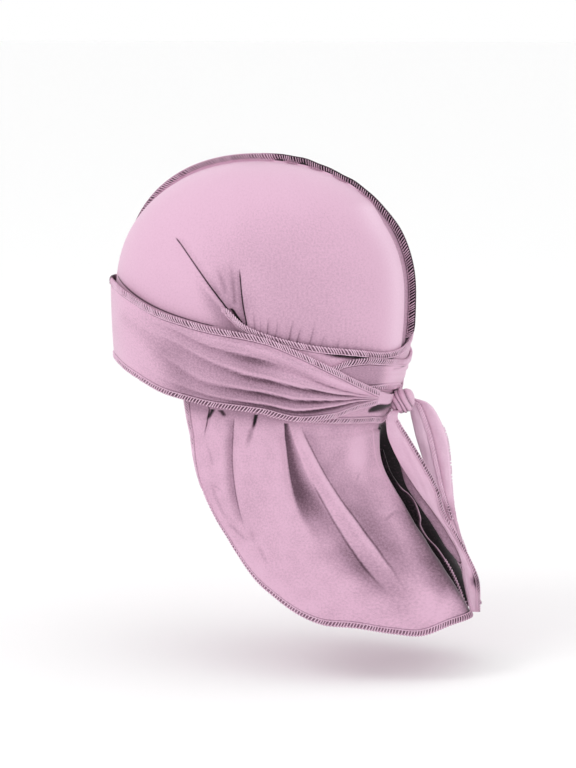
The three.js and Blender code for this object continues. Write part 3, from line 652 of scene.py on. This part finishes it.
def tie_cloth(tab, at, across):
    """A tie's cloth lies on the head at its layer, plus its folds and wrinkles."""
    width = smooth(tab, "width", at) * TIE_WIDTH
    height = upper_edge(tab, at) - across * width
    depth = eased(tab, "fold", at)
    ridge, fine, shadow, light = pleats(at, across)
    from_edge = np.minimum(across, 1 - across) * width
    hem = 1 - ramp(from_edge, HEM - 0.6, HEM)
    inner = ramp(from_edge, 0.5, 7)
    broad = ripple(at * REACH, across * width, 34, 5)
    small = ripple(at * REACH * 0.3, across * width, 5.5, 8)
    sewn_in = 2.3 * (1 - ramp(at, 6, 14)) * ramp(across * width, 3.5, 8)
    offset = (
        eased(tab, "layer", at) * LAYER_PITCH + CLOTH + 0.3 * hem
        + depth * (2.3 * ridge + 0.16 * fine) * (0.08 + 0.92 * ramp(from_edge, 2.5, 8))
        + 0.2 * (1 + broad) * inner + 0.06 * small * depth * inner - sewn_in
    )
    # painted light and shade of the long folds: a painted shadow below each valley and a painted highlight above it
    within = ramp(from_edge, 2.5, 5)
    strong = depth * within * (0.7 + 0.5 * ramp(at, 350, 380) + 0.35 * ramp(at, 386, 402))
    shade = strong * (0.3 * light - 0.44 * shadow - 0.08 * (1 - ridge) - 0.07 * np.clip(-fine, 0, 1))
    shade += 0.04 * broad - 0.02 * small * depth
    return height, offset, shade, hem


def make_tie(name, tab, steps, columns, side, tone):
    """One tie, 1 the left and -1 the right, with overlock on both its long edges up to the knot."""
    along = np.linspace(tab["at"][0], tab["at"][-1], steps)
    even = np.linspace(0, 1, columns)
    at, across = np.meshgrid(along, even - 0.08 * np.sin(2 * np.pi * even), indexing="ij")
    height, offset, shade, hem = tie_cloth(tab, at, across)
    points = on_head(at, height, offset) * np.array([side, 1, 1])
    # painted light and shade for this tie, and painted shade on its hem bands
    own = tone(at, across, height)
    shade += own + (0.12 * ramp(across, 0.4, 0.6) - 0.1) * hem
    knit = np.stack([at * REACH, across * TIE_WIDTH], -1)
    from_edge = np.minimum(across, 1 - across) * smooth(tab, "width", at) * TIE_WIDTH
    sewn = tab["at"][0] + 5
    rim = np.where((at > STITCHED) | (at < sewn), FAR, from_edge)
    piece = thicken(surface(name + "_jersey", points, shade, knit, tie_finish, rim=rim))
    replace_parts(piece, name)
    normal = outward(points)
    rows = (along <= STITCHED) & (along >= sewn)
    threads = []
    for edge, column, inner in (("upper", 0, 3), ("lower", -1, -4)):
        inward = points[rows, inner] - points[rows, column]
        # the overlock takes the painted shade of the cloth beside it
        light = 0.46 + 0.5 * np.clip(own[rows, column], -0.4, 0) + 2 * np.clip(own[rows, column] + 0.4, -1, 0)
        threads += overlock(f"{name}_{edge}", points[rows, column], inward, normal[rows, column], shade=light)
    return piece, threads


def left_tie_light_and_shade(at, across, height):
    """Light and shade on the left tie: dark where it dips under the seam, mauve where the long folds gather."""
    first = 1 - ramp(at, 112, 135)
    gap = near_places(at, height, [(38, -31.8), (48, -34.4), (58, -36.6), (68, -39), (77, -40)])[0]
    seam = first * (-0.9 * hump(gap, 0, 1.2) * window(at, 40, 50, 72, 79) - 0.06)
    corner = near_places(at, height, [(70, -73.5), (77, -72), (90, -71)])[0]
    seam -= first * np.exp(-((corner / (1.5 + 2.5 * ramp(at, 68, 80))) ** 4)) * ramp(at, 64, 72)
    face = -0.9 * (1 - ramp(at, 284, 300)) * hump(across, 0, 0.07) * ramp(at, 266, 278)
    gather = -0.17 * ramp(at, 312, 342) - 0.12 * hump(at, 333, 9) * hump(across, 0.6, 0.25)
    gather = gather - 0.1 * ramp(across, 0.55, 0.9) * window(at, 322, 340, 392, 408)
    lighter = 0.1 * ramp(at, 372, 396) + 0.08 * ramp(at, 400, 412) + 0.2 * ramp(at, 426, 432)
    slanting = near_line(at, height, [(308, -15), (319, -24), (328, -33)])[0]
    soft = -0.1 * hump(slanting, 0, 5)
    turned = -0.8 * hump(across, 1, 0.1) * ramp(at, 429, 434) - 0.3 * hump(across, 0, 0.1) * ramp(at, 431, 436)
    return seam + face + gather + lighter + soft + turned


def right_tie_light_and_shade(at, across, height):
    """Light and shade on the right tie: over the nape its end under the outer tie is in shadow."""
    strap = window(at, 66, 84, 128, 140)
    small_fold = near_line(at, height, [(103, -46.8), (97, -47.6), (88, -46.6)])[0]
    return strap * (-0.5 * hump(small_fold, 0, 0.8) - 0.6 * ramp(at, 101, 113) - 0.06 * hump(across, 0.8, 0.15) + 0.32)


tie_left, left_threads = make_tie("tie_left", LEFT_TIE, 560, 60, 1, left_tie_light_and_shade)
tie_right, right_threads = make_tie("tie_right", RIGHT_TIE, 360, 32, -1, right_tie_light_and_shade)

# ---- the crown

RIM = table(
    "at level", (-90, -0.36), (-60, -0.42), (-34, -0.57), (-8, -0.67), (17, -0.72), (40, -0.77), (66, -0.82),
    (90, -0.85),
)


def cover_edge(turn):
    """Height where the ties' upper edge crosses the crown."""
    return upper_edge(LEFT_TIE, np.where(turn < LEFT_TIE["at"][0], turn + 360, turn))


def seam_stand(turn, height):
    """How far the seam allowance stands out: it grows slowly over the forehead and at once at the back."""
    front = 1.1 * ramp(height, 20, 80)
    rear = ramp(height, -33, -24) * (1 - 0.25 * window(height, 38, 54, 76, 83) + 0.15 * ramp(height, 78, 86))
    return SEAM_HEIGHT * np.where(turn < 0, front, rear)


def seam_wave(along):
    """The allowance leans from side to side behind the top."""
    return 1.6 * np.sin(2 * np.pi * along / 17) * window(along, 2, 12, 62, 78)


def crown_cloth(turn, height, creased):
    """Offset and painted shade of a crown panel away from its seam allowance: painted shade along its folds and towards
    its lower middle, and a painted shadow just above the ties' edge.
    """
    broad = ripple(turn * REACH, height, 70, 3)
    offset = CLOTH + 0.25 * broad * window(height, -20, 10, 60, 84)
    shade = 0.02 * broad + 0.06
    shade = shade - 0.16 * hump(turn, 28, 42) * (1 - ramp(height, 30, 78))
    if creased:
        offset = offset - dents(turn, height, CROWN_FOLDS)
        drag = near_line(turn * REACH, height, [(-23, 24), (-16, 11), (-8, -2), (0, -13)])  # places in millimetres
        shade = shade - 0.26 * hump(drag[0], 0, 3 + 5 * drag[1]) * ramp(drag[1], 0, 0.7)
        middle = near_line(turn * REACH, height, [(-8, 25), (-1, 12), (8, -2)])
        shade = shade - 0.16 * hump(middle[0], 0, 9) * ramp(middle[1], -0.2, 0.5)
    above = np.clip(height - cover_edge(turn), 0, None)
    pucker = np.sin(turn * 1.9 + 2 * np.sin(turn * 0.31)) * np.exp(-above / 5) * window(turn, 5, 14, 60, 84)
    offset += 0.3 * pucker
    shade += 0.04 * pucker - 0.3 * np.exp(-above / 1.8) * ramp(turn, -2, 8)
    shade = shade - 0.1 * np.exp(-above / 9) * ramp(turn, -20, 20)
    return offset, shade


def crown_panel(name, side, columns, rows):
    """One panel: turns from the face to the rear, rows from the rim to the top, and the seam allowance at both ends."""
    share = np.linspace(0, 1, columns)
    graded = share - 0.05 * np.sin(2 * np.pi * (share - 0.03))
    turns = -90 + 180 * (graded - graded[0]) / (graded[-1] - graded[0])
    close = 90 - np.array([4, 3, 2, 1.4, 0.9, 0.5, 0.2])
    turns = np.sort(np.concatenate([turns, close, -close]))
    steps = np.arange(1, 8) / 7
    stands = np.concatenate([steps[::-1], np.zeros(len(turns)), steps])
    turns = np.pad(turns, len(steps), constant_values=(-90, 90))
    turn, up = np.meshgrid(turns, np.linspace(0, 1, rows), indexing="ij")
    stand = np.broadcast_to(stands[:, None], turn.shape)
    low = np.arcsin(np.clip(smooth(RIM, "level", turn) * NAPE_DEPTH / CROWN_HEIGHT, -1, 1))
    height = CROWN_HEIGHT * np.sin(low + (np.pi / 2 - low) * up)
    offset, shade = crown_cloth(turn, height, side > 0)
    # beside the rear seam a strip is pinched down, wide at the nape and pointed near the top; it is painted into shade,
    # darkest along the seam, with a thin painted dark line at its inner edge
    away = np.abs(on_head(turn, height, offset)[..., 0])
    width = STRIP_WIDTH * ramp(66 - height, 0, 22)
    behind = (turn > 45) * ramp(height, -60, -50) * ramp(width, 0.5, 4)
    sharp = 0.5 + 2.5 * ramp(height, 15, 60)
    inside = behind * (1 - ramp(away, width - sharp, width + 0.2 * sharp))
    offset = offset - 0.8 * inside * ramp(away, 1.5, 5) + 0.4 * behind * hump(away, width + 1, 1)
    shade = shade - inside * (0.24 + 0.6 * hump(away, 0, 1.7)) - 0.1 * behind * hump(away, width, 0.6)
    # the cloth rises into the seam, and a painted highlight lies along the rims of the head
    offset += np.exp(-away / 1.5) * ramp(height, -33, -20)
    shade += 0.08 * np.exp(-away / 14) * (1 - behind)
    shade += 0.42 * behind * hump(away, width + 9, 12) * ramp(away, width - 0.5, width + 1)
    point = on_head(turn, height, offset + stand * seam_stand(turn, height))
    x = np.hypot(point[..., 0], 0.95 - 0.35 * ramp(stand, 0, 0.4))
    lean = seam_wave(point[..., 1]) * ramp(stand, 0, 1) * (height > 0)
    points = np.stack([side * x + lean, point[..., 1], point[..., 2]], -1)
    # painted shade on the seam allowance, deeper towards the back and near its base
    rearward = ramp(point[..., 1], 2, 16)
    flange = -0.1 + rearward * (-0.6 - 0.3 * hump(stand, 0.15, 0.2))
    shade = np.where(stand > 0, flange, shade)
    rim = np.where((stand > 0) & (seam_stand(turn, height) > 1), (1 - stand) * SEAM_HEIGHT, FAR)
    finish = crown_finish if side > 0 else hidden_side_finish
    piece = thicken(surface(name + "_jersey", points, shade, np.stack([turn * REACH, height], -1), finish, rim=rim))
    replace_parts(piece, name)
    return piece


def crown_seam_threads():
    """Overlock round both allowances' edge, from the forehead over the top to the nape."""
    front = CROWN_HEIGHT * np.sin(np.radians(np.linspace(12, 90, 260)))
    rear = CROWN_HEIGHT * np.sin(np.radians(np.linspace(90, -20, 420)))[1:]
    height = np.concatenate([front, rear])
    turn = np.concatenate([np.full(len(front), -90.0), np.full(len(rear), 90.0)])
    stand = seam_stand(turn, height)
    edge, inner = on_head(turn, height, CLOTH + stand), on_head(turn, height, CLOTH + stand - 1)
    inner[:, 0] = edge[:, 0] = seam_wave(edge[:, 1]) + 0.9
    keep = stand > 0.9
    inner[:, 1:] = edge[:, 1:] - way(edge - inner)[:, 1:]
    # the overlock is painted into shade towards the back
    behind = ramp(edge[:, 1], 2, 16)
    return overlock(
        "crown_seam", edge[keep], (inner - edge)[keep], np.tile([1.0, 0, 0], (keep.sum(), 1)),
        shade=(0.25 - 0.4 * behind)[keep], width=3.9, lift=1.1, pitch=1.8, radius=0.36,
    )


crown_left = crown_panel("crown_left", 1, 232, 124)
crown_right = crown_panel("crown_right", -1, 100, 70)
crown_threads = crown_seam_threads()

# ---- the cape

HEM_LINE = table(
    "at drop", (-17.5, 0.25), (-10.8, 0.383), (-1, 0.533), (11.5, 0.704), (22, 0.802), (33, 0.89), (42, 0.937),
    (52, 0.95), (62, 0.982), (69, 0.998), (77, 0.955), (84, 0.935), (90, 0.93),
)


def shoulder(drop):
    """How far back the cape has run at a drop: straight down first, then on a slope, along a hyperbola."""
    start, bend, flare = 0.217 * CAPE_DROP, 0.093 * CAPE_DROP, 0.68
    return 0.5 * flare * (np.hypot(drop - start, bend) + drop - start - (math.hypot(start, bend) - start))


def on_cape(turn, height, offset):
    """The head's own section down to the ties' lowest edge, and the cape's hanging section below it."""
    drop = np.clip(-height - NAPE_DEPTH, 0, None)
    head = on_head(turn, np.maximum(height, -NAPE_DEPTH), offset)
    half_width, rear = NAPE_HALF + 0.04 * drop + offset, NAPE_REAR + shoulder(drop) + offset
    return np.where((drop > 0)[..., None], section(turn, half_width, NAPE_FRONT + offset, rear, height), head)


def cape_relief(turn, height, left):
    """Dents, ridges and the hollow in the middle of the back, and the painted shade and light that go with them."""
    x, y = turn * REACH, height
    drop = (-height - NAPE_DEPTH) / CAPE_DROP
    relief = 1.2 * ripple(x, y * 0.6, 46, 11) * ramp(drop, 0, 0.3) + 0.35 * ripple(x, y, 15, 12) * ramp(drop, 0.1, 0.5)
    folds = np.where(left, dents(turn, height, CAPE_FOLDS), dents(turn, height, CAPE_FOLDS[LARGE_FOLDS]))
    relief = relief - folds * ramp(1 - drop, 0, 0.1)
    shade = -0.05 + 0.04 * ripple(x, y * 0.6, 40, 13) + 0.03 * ripple(x, y, 12, 14)
    # soft patches of painted shade; where dark is below 0, painted light
    for spots, dark, wide in (
        ([(46, -158), (58, -176), (67, -196)], 0.26, 8),
        ([(60, -128), (69, -158), (76, -182)], 0.26, 10),
        ([(60, -90), (54, -104), (60, -120), (68, -134)], 0.1, 6),
        ([(74, -96), (70, -116), (72, -132)], 0.12, 5),
        ([(62, -90), (68, -112)], -0.16, 8),
        ([(76, -198), (84, -203)], -0.35, 11),
        ([(30, -196), (10, -180), (0, -165)], -0.12, 10),
        ([(-12, -82), (-8, -100), (-4, -118)], -0.04, 6),
    ):
        away, along = near_places(turn, height, spots)
        shade = shade - left * dark * hump(away, 0, wide) * ramp(along, -0.3, 0.3) * ramp(1 - along, -0.3, 0.3)
    middle = (90 - turn) * REACH
    relief = relief - HOLLOW_DEPTH * ramp(drop, -0.06, 0.22) * hump(middle, 0, HOLLOW_WIDTH)
    swell = 4.5 * ramp(drop, 0.1, 0.38) + 2 * ramp(drop, 0.55, 0.95)
    relief += left * swell * hump(np.clip(middle, 8, None), 8, 11) * ramp(middle, 3, 8)
    fuller = 10 * ramp(drop, -0.12, 0.12) * (1 - 0.4 * ramp(drop, 0.35, 0.8)) * hump(middle, 17, 10)
    relief += np.where(left, 0, fuller)
    # painted shade deepens towards the hollow, and the hollow itself is painted near-black as shadow
    lower = ramp(drop, 0.2, 0.5)
    inner = ramp(np.where(left, 10.5 + 4 * lower, 20) - middle, 0, np.where(left, 4 + 5 * lower, 7))
    shade = shade - 0.45 * lower * left * ramp(23 - middle, 0, 11)
    shade = shade * (1 - inner) - 1.02 * inner * ramp(drop, -0.1, 0.02)
    # a painted shadow under the ties along the cape's top
    shade = shade - 0.26 * np.exp(-np.clip(-height - 71 - 0.1 * (turn + 25), 0, None) / 4.5)
    return relief, shade


def make_cape():
    """The cape from its left front edge round the back to the right one, and the overlock on its three free edges."""
    share, down = np.meshgrid(np.linspace(0, 1, 300), np.linspace(0, 1, 120), indexing="ij")
    share = share - 0.03 * np.sin(4 * np.pi * share) / 2
    left = share <= 0.5
    across = 1 - np.abs(1 - 2 * share)
    top_turn, hem_turn = -25 + 115 * across, -17.5 + 107.5 * across
    top = smooth(RIM, "level", top_turn) * NAPE_DEPTH - 0.3
    hem = -NAPE_DEPTH - smooth(HEM_LINE, "drop", hem_turn) * CAPE_DROP
    turn, height = top_turn + (hem_turn - top_turn) * down**3, top + (hem - top) * down
    relief, shade = cape_relief(turn, height, left)
    relief = relief * (0.3 + 0.7 * ramp(down, 0, 0.06)) * (0.3 + 0.7 * ramp(across, 0, 0.1))
    points = on_cape(turn, height, CLOTH + relief)
    points[..., 0] *= np.where(left, 1, -1)
    to_hem = (1 - down) * gaps(points, 1).sum(1)[:, None]
    to_front = np.minimum(share, 1 - share) * gaps(points).sum(0)
    from_edge = np.minimum(to_hem, to_front)
    knit = np.stack([np.where(left, turn, 180 - turn) * REACH, height], -1)
    piece = thicken(surface("cape_jersey", points, shade, knit, cape_finish, rim=from_edge))
    piece.data.materials.append(lining_finish)
    piece.modifiers["thickness"].material_offset = 1
    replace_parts(piece, "cape")

    def border(grid, step):
        return np.concatenate([grid[step, : grid.shape[1] - 1], grid[:, -1 - step], grid[-1 - step, ::-1][1:]])

    edge = border(points, 0)
    # the overlock follows the painted shade of the cloth at the edge
    tone = 0.42 + 0.8 * np.clip(border(shade[..., None], 0)[:, 0] + 0.05, -1, 0)
    return piece, overlock("cape", edge, border(points, 4) - edge, border(outward(points), 0), shade=tone, seed=4)


cape, cape_threads = make_cape()

# The allowance of the cape's centre seam stands in the hollow; its edge runs through these places
CAPE_SEAM = table(
    "at y height", (0, 84, -104), (1, 89, -118), (2, 96.2, -128.8), (3, 102.1, -133.7), (4, 106.8, -139.5),
    (5, 110.0, -148.2), (6, 110.2, -154.7), (7, 114.7, -162), (8, 122.3, -169.3), (9, 129.9, -180.7),
    (10, 135.5, -192.3), (11, 139.3, -201.6), (12, 142.2, -207.5),
)


def make_cape_seam():
    """A strip from the hollow's floor out to the seam line, with overlock on the lower part of its edge."""
    along, out = np.meshgrid(np.linspace(0, 12, 160), np.linspace(0, 1, 10), indexing="ij")
    y, z = smooth(CAPE_SEAM, "y", along), smooth(CAPE_SEAM, "height", along)
    floor = NAPE_REAR + shoulder(-z - NAPE_DEPTH) - 12.5
    points = np.stack([0.7 * np.sin(along * 1.7) * out, y - np.minimum(y - floor, 9) * (1 - out), z], -1)
    # the strip is painted near-black as shadow in the hollow, with a painted highlight along most of its outer edge
    shade = -0.98 + 0.85 * ramp(out, 0.86, 0.98) * ramp(along, 1.4, 2.4)
    piece = thicken(surface("cape_seam_jersey", points, shade, np.stack([150 + along * 10, out * 9], -1), cape_finish))
    low = along[:, 0] > 8.6
    inward = points[low, -4] - points[low, -1]
    sideways = np.tile([1.0, 0, 0], (low.sum(), 1))
    return piece, overlock("cape_seam", points[low, -1], inward, sideways, shade=0.2, width=2.8, lift=0.8)


cape_seam, cape_seam_threads = make_cape_seam()

# ---- the knot and the two hanging ends

KNOT = on_head(np.array(90.0), np.array(-0.8 * NAPE_DEPTH), np.array(12.4)) * np.array([0, 1, 1])


def make_knot():
    """A rounded box |x|^2.6 + |y|^2.6 + |z|^2.6 = 1, cut by slanting creases between the wraps of the tie."""
    up, around = np.meshgrid(np.linspace(-1.55, 1.55, 70), np.linspace(0, 2 * np.pi, 121)[:-1], indexing="ij")
    ball = np.stack([np.cos(up) * np.cos(around), np.cos(up) * np.sin(around), np.sin(up)], -1)
    box = (np.abs(ball) ** 2.6).sum(-1) ** (-1 / 2.6)
    slant = -0.3 * ball[..., 0] + 0.85 * ball[..., 1] + 0.42 * ball[..., 2] + 0.06 * np.sin(2.5 * ball[..., 2])
    ridge = np.abs(np.sin(np.pi * np.interp(slant, [-1.2, -0.75, -0.31, -0.03, 0.5, 1.2], [-1, 0, 1, 2, 3, 4]))) ** 0.5
    fine = np.sin(26 * slant + 3 * ball[..., 2])
    radius = box * (0.86 + 0.14 * ridge + 0.008 * fine)
    points = KNOT + np.array([0, -1.8, 0.4]) + ball * radius[..., None] * KNOT_HALF
    # painted shade in the creases between the wraps, and more underneath and towards the face
    shade = 0.04 - 0.85 * (1 - ridge) ** 1.3 + 0.04 * fine
    shade = shade - 0.25 * ramp(-ball[..., 2], 0.35, 1) - 0.2 * ramp(-ball[..., 1], 0.5, 1)
    knit = np.stack([slant * 12, up * 12], -1)
    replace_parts(surface("knot_jersey", points, shade, knit, tie_finish, ring=True, inside=KNOT), "knot")


make_knot()

# A tie end: drop, reach and aside place its middle below, behind and left of the knot; width is a share of
# TAIL_WIDTH, face its turn in plan, curl how far its profile is folded
LEFT_TAIL = table(
    "at drop reach aside width face curl",
    (0, 0.035, -0.07, 0.62, 0.32, 45, 0), (1, 0.06, -0.106, 0.98, 0.42, 38, 0), (2, 0.1, -0.08, 1.07, 0.55, 24, 0.2),
    (3, 0.18, 0, 0.94, 0.82, 8, 0.7), (4, 0.3, 0.16, 0.69, 0.95, 0, 1), (5, 0.42, 0.34, 0.43, 0.8, 5, 1),
    (6, 0.53, 0.48, 0.17, 0.4, 10, 1), (7, 0.64, 0.66, 0, 0.3, 15, 1), (8, 0.75, 0.82, -0.1, 0.34, 20, 1),
    (9, 0.87, 0.915, -0.15, 0.55, 20, 1), (10, 1.02, 0.97, -0.15, 0.34, 20, 1),
)
# A tie end's profile: across and deep place each column, and tone is painted shade, deep along the stitched edge and
# over the folded-back strip
LEFT_PROFILE = table(
    "at across deep tone",
    (0, 0.5, 0.06, -0.75), (1, 0.36, 0.01, -0.16), (2, 0.15, -0.02, 0.08), (3, -0.2, -0.01, 0.06),
    (4, -0.45, 0.01, 0.06), (5, -0.52, 0.05, -0.1), (6, -0.5, 0.12, -0.75), (7, -0.6, 0.17, -0.62),
    (8, -0.78, 0.24, -0.6), (9, -0.9, 0.3, -0.7),
)
RIGHT_TAIL = table(
    "at drop reach aside width face curl",
    (0, -0.005, 0.02, -0.5, 0.45, 0, 0.5), (1, 0.02, 0.12, -0.85, 0.66, 0, 1), (2, 0.08, 0.18, -1.03, 0.96, 0, 1),
    (3, 0.19, 0.28, -1.03, 1.1, 0, 1), (4, 0.31, 0.37, -0.9, 0.95, 0, 1), (5, 0.43, 0.46, -0.77, 0.72, 10, 1),
    (6, 0.53, 0.55, -0.73, 0.6, 35, 1), (7, 0.64, 0.66, -0.77, 0.5, 60, 1), (8, 0.74, 0.76, -0.81, 0.35, 60, 1),
)
# The other end's profile, the same columns; tone is painted light on its faces, most on the left part, which lies in
# shadow, and painted shade along the middle fold and inside the flap
RIGHT_PROFILE = table(
    "at across deep tone",
    (0, -0.5, 0, 0.7), (1, -0.3, -0.04, 0.8), (2, -0.02, -0.04, 0.62), (3, 0.05, 0, -0.1), (4, 0.08, 0.07, -0.5),
    (5, 0.16, 0.08, 0), (6, 0.36, 0.1, 0.28), (7, 0.5, 0.18, 0.26), (8, 0.46, 0.42, -0.4),
)


def make_tail(name, tail, profile, steps, columns, flap, stitched, painted_shade):
    """A hanging tie end: its folded profile is carried down a curve, turned and widened by the table. The flap, the
    part of the profile beyond half the width, comes out between the first two places given and ends between the
    others. patch gives the shade that the profile doesn't."""
    places = np.linspace(0, tail["at"][-1], steps), np.linspace(0, profile["at"][-1], columns)
    at, across = np.meshgrid(*places, indexing="ij")
    width = smooth(tail, "width", at) * TAIL_WIDTH
    face = np.radians(smooth(tail, "face", at))
    curl = smooth(tail, "curl", at)
    length = at / tail["at"][-1] * TAIL_DROP
    share = smooth(profile, "across", across)
    side = np.maximum(share, -0.5) * width + np.minimum(share + 0.5, 0) * TAIL_WIDTH * window(at, *flap)
    wrinkle = 0.35 * ripple(length, side * 3, 16, 21) + 0.12 * ripple(length, side * 4, 5, 22)
    deep = smooth(profile, "deep", across) * width * curl + wrinkle * ramp(at, 0, 1)
    sizes = (("aside", KNOT_WIDTH), ("reach", TAIL_REACH), ("drop", -TAIL_DROP))
    middle = KNOT + np.stack([smooth(tail, column, at) * size for column, size in sizes], -1)
    back = side * np.cos(face) - deep * np.sin(face)
    left = -side * np.sin(face) - deep * np.cos(face)
    points = middle + np.stack([left, back, np.zeros_like(back)], -1)
    shade = smooth(profile, "tone", across) * ramp(curl, 0, 0.6) + 0.06 * ripple(length, side * 3, 12, 23)
    # a painted highlight over the whole end, painted shade where it leaves the knot, and the end's own patches of
    # painted shade
    shade += 0.24 - 0.3 * (1 - ramp(at, 0, 0.5)) - painted_shade(at, across)
    reach = np.concatenate([np.zeros((steps, 1)), np.cumsum(gaps(points, 1), axis=1)], 1)
    rim = np.full_like(reach, FAR)
    for column, step, first, last in stitched:
        beyond = np.sign(step) * (reach - reach[:, column, None])
        here = (at >= first) & (at <= last) & (beyond >= -0.3)
        rim = np.where(here, np.minimum(rim, np.abs(beyond) * 1.25), rim)
    knit = np.stack([length, side], -1)
    folded = surface(name + "_jersey", points, shade, knit, tie_finish, inside=(-60, 60, -140), rim=rim)
    piece = thicken(folded, TAIL_CLOTH)
    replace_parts(piece, name)
    normal = grid_normals(points)
    normal = normal * np.sign(normal[..., :1])
    threads = []
    for number, (column, step, first, last) in enumerate(stitched):
        rows = (at[:, 0] >= first) & (at[:, 0] <= last)
        inward = points[rows, column + step] - points[rows, column]
        # the overlock takes the painted shade of the cloth beside it
        threads += overlock(
            f"{name}_{number}", points[rows, column], inward, normal[rows, column],
            shade=0.38 + 0.6 * shade[rows, column + step], width=3.0, lift=0.6, pitch=1.8, radius=0.32,
        )
    return piece, threads


def left_end_painted_shade(at, across):
    """Painted shade on the left end: in the notch near its tip and along the edge above it."""
    notch = 1.1 * hump(at, 9.0, 0.25) * (1 - ramp(across, 1.6, 3.6))
    return notch + 0.4 * window(at, 6.6, 7.2, 7.6, 8.2) * (1 - ramp(across, 0.6, 2.6))


def right_end_painted_shade(at, across):
    """Painted shade on the right end, where its lower half turns away from the light with the wrong side of the
    stitching in view.
    """
    return 0.95 * ramp(at, 5.2, 6.2) * (1 - 0.4 * ramp(across, 2, 5))


tail_left, tail_left_threads = make_tail(
    "tail_left", LEFT_TAIL, LEFT_PROFILE, 150, 46, (3.4, 5.2, 7.4, 8.8), [(0, 5, 1.6, 10), (45, -5, 8.2, 10)],
    left_end_painted_shade,
)
tail_right, tail_right_threads = make_tail(
    "tail_right", RIGHT_TAIL, RIGHT_PROFILE, 120, 41, (0, 1, 8, 9), [(15, -5, 1, 6.5), (40, -5, 2.5, 8)], right_end_painted_shade,
)

# ---- floor, light

white = Finish("floor_white")
matt = white.add("ShaderNodeBsdfDiffuse", None, {"Color": (0.98, 0.98, 0.98, 1), "Roughness": 0.5}).out()
white.add("ShaderNodeOutputMaterial", None, {0: matt})
FLOOR_HALF, FLOOR_HEIGHT = 60, -0.25  # metres
floor_mesh = bpy.data.meshes.new("floor")
corners = [(x * FLOOR_HALF, y * FLOOR_HALF, FLOOR_HEIGHT) for x, y in ((-1, -1), (1, -1), (1, 1), (-1, 1))]
floor_mesh.from_pydata(corners, [], [(0, 1, 2, 3)])
floor_mesh.materials.append(white.material)
floor = placed("floor", floor_mesh)

world = bpy.data.worlds.new("studio")
world.use_nodes = True
sky = world.node_tree.nodes["Background"].inputs
sky["Color"].default_value = (1, 1, 1, 1)
sky["Strength"].default_value = 1.0
bpy.context.scene.world = world

lamp = bpy.data.lights.new("key", "AREA")
lamp.shape, lamp.size, lamp.energy = "SQUARE", 0.9, 8
key = placed("key", lamp)
key.location = (1.3, -1.0, 1.6)
key.rotation_euler = (Vector((0, 0.02, -0.03)) - key.location).to_track_quat("-Z", "Y").to_euler()
bpy.context.scene.view_settings.view_transform = "Standard"
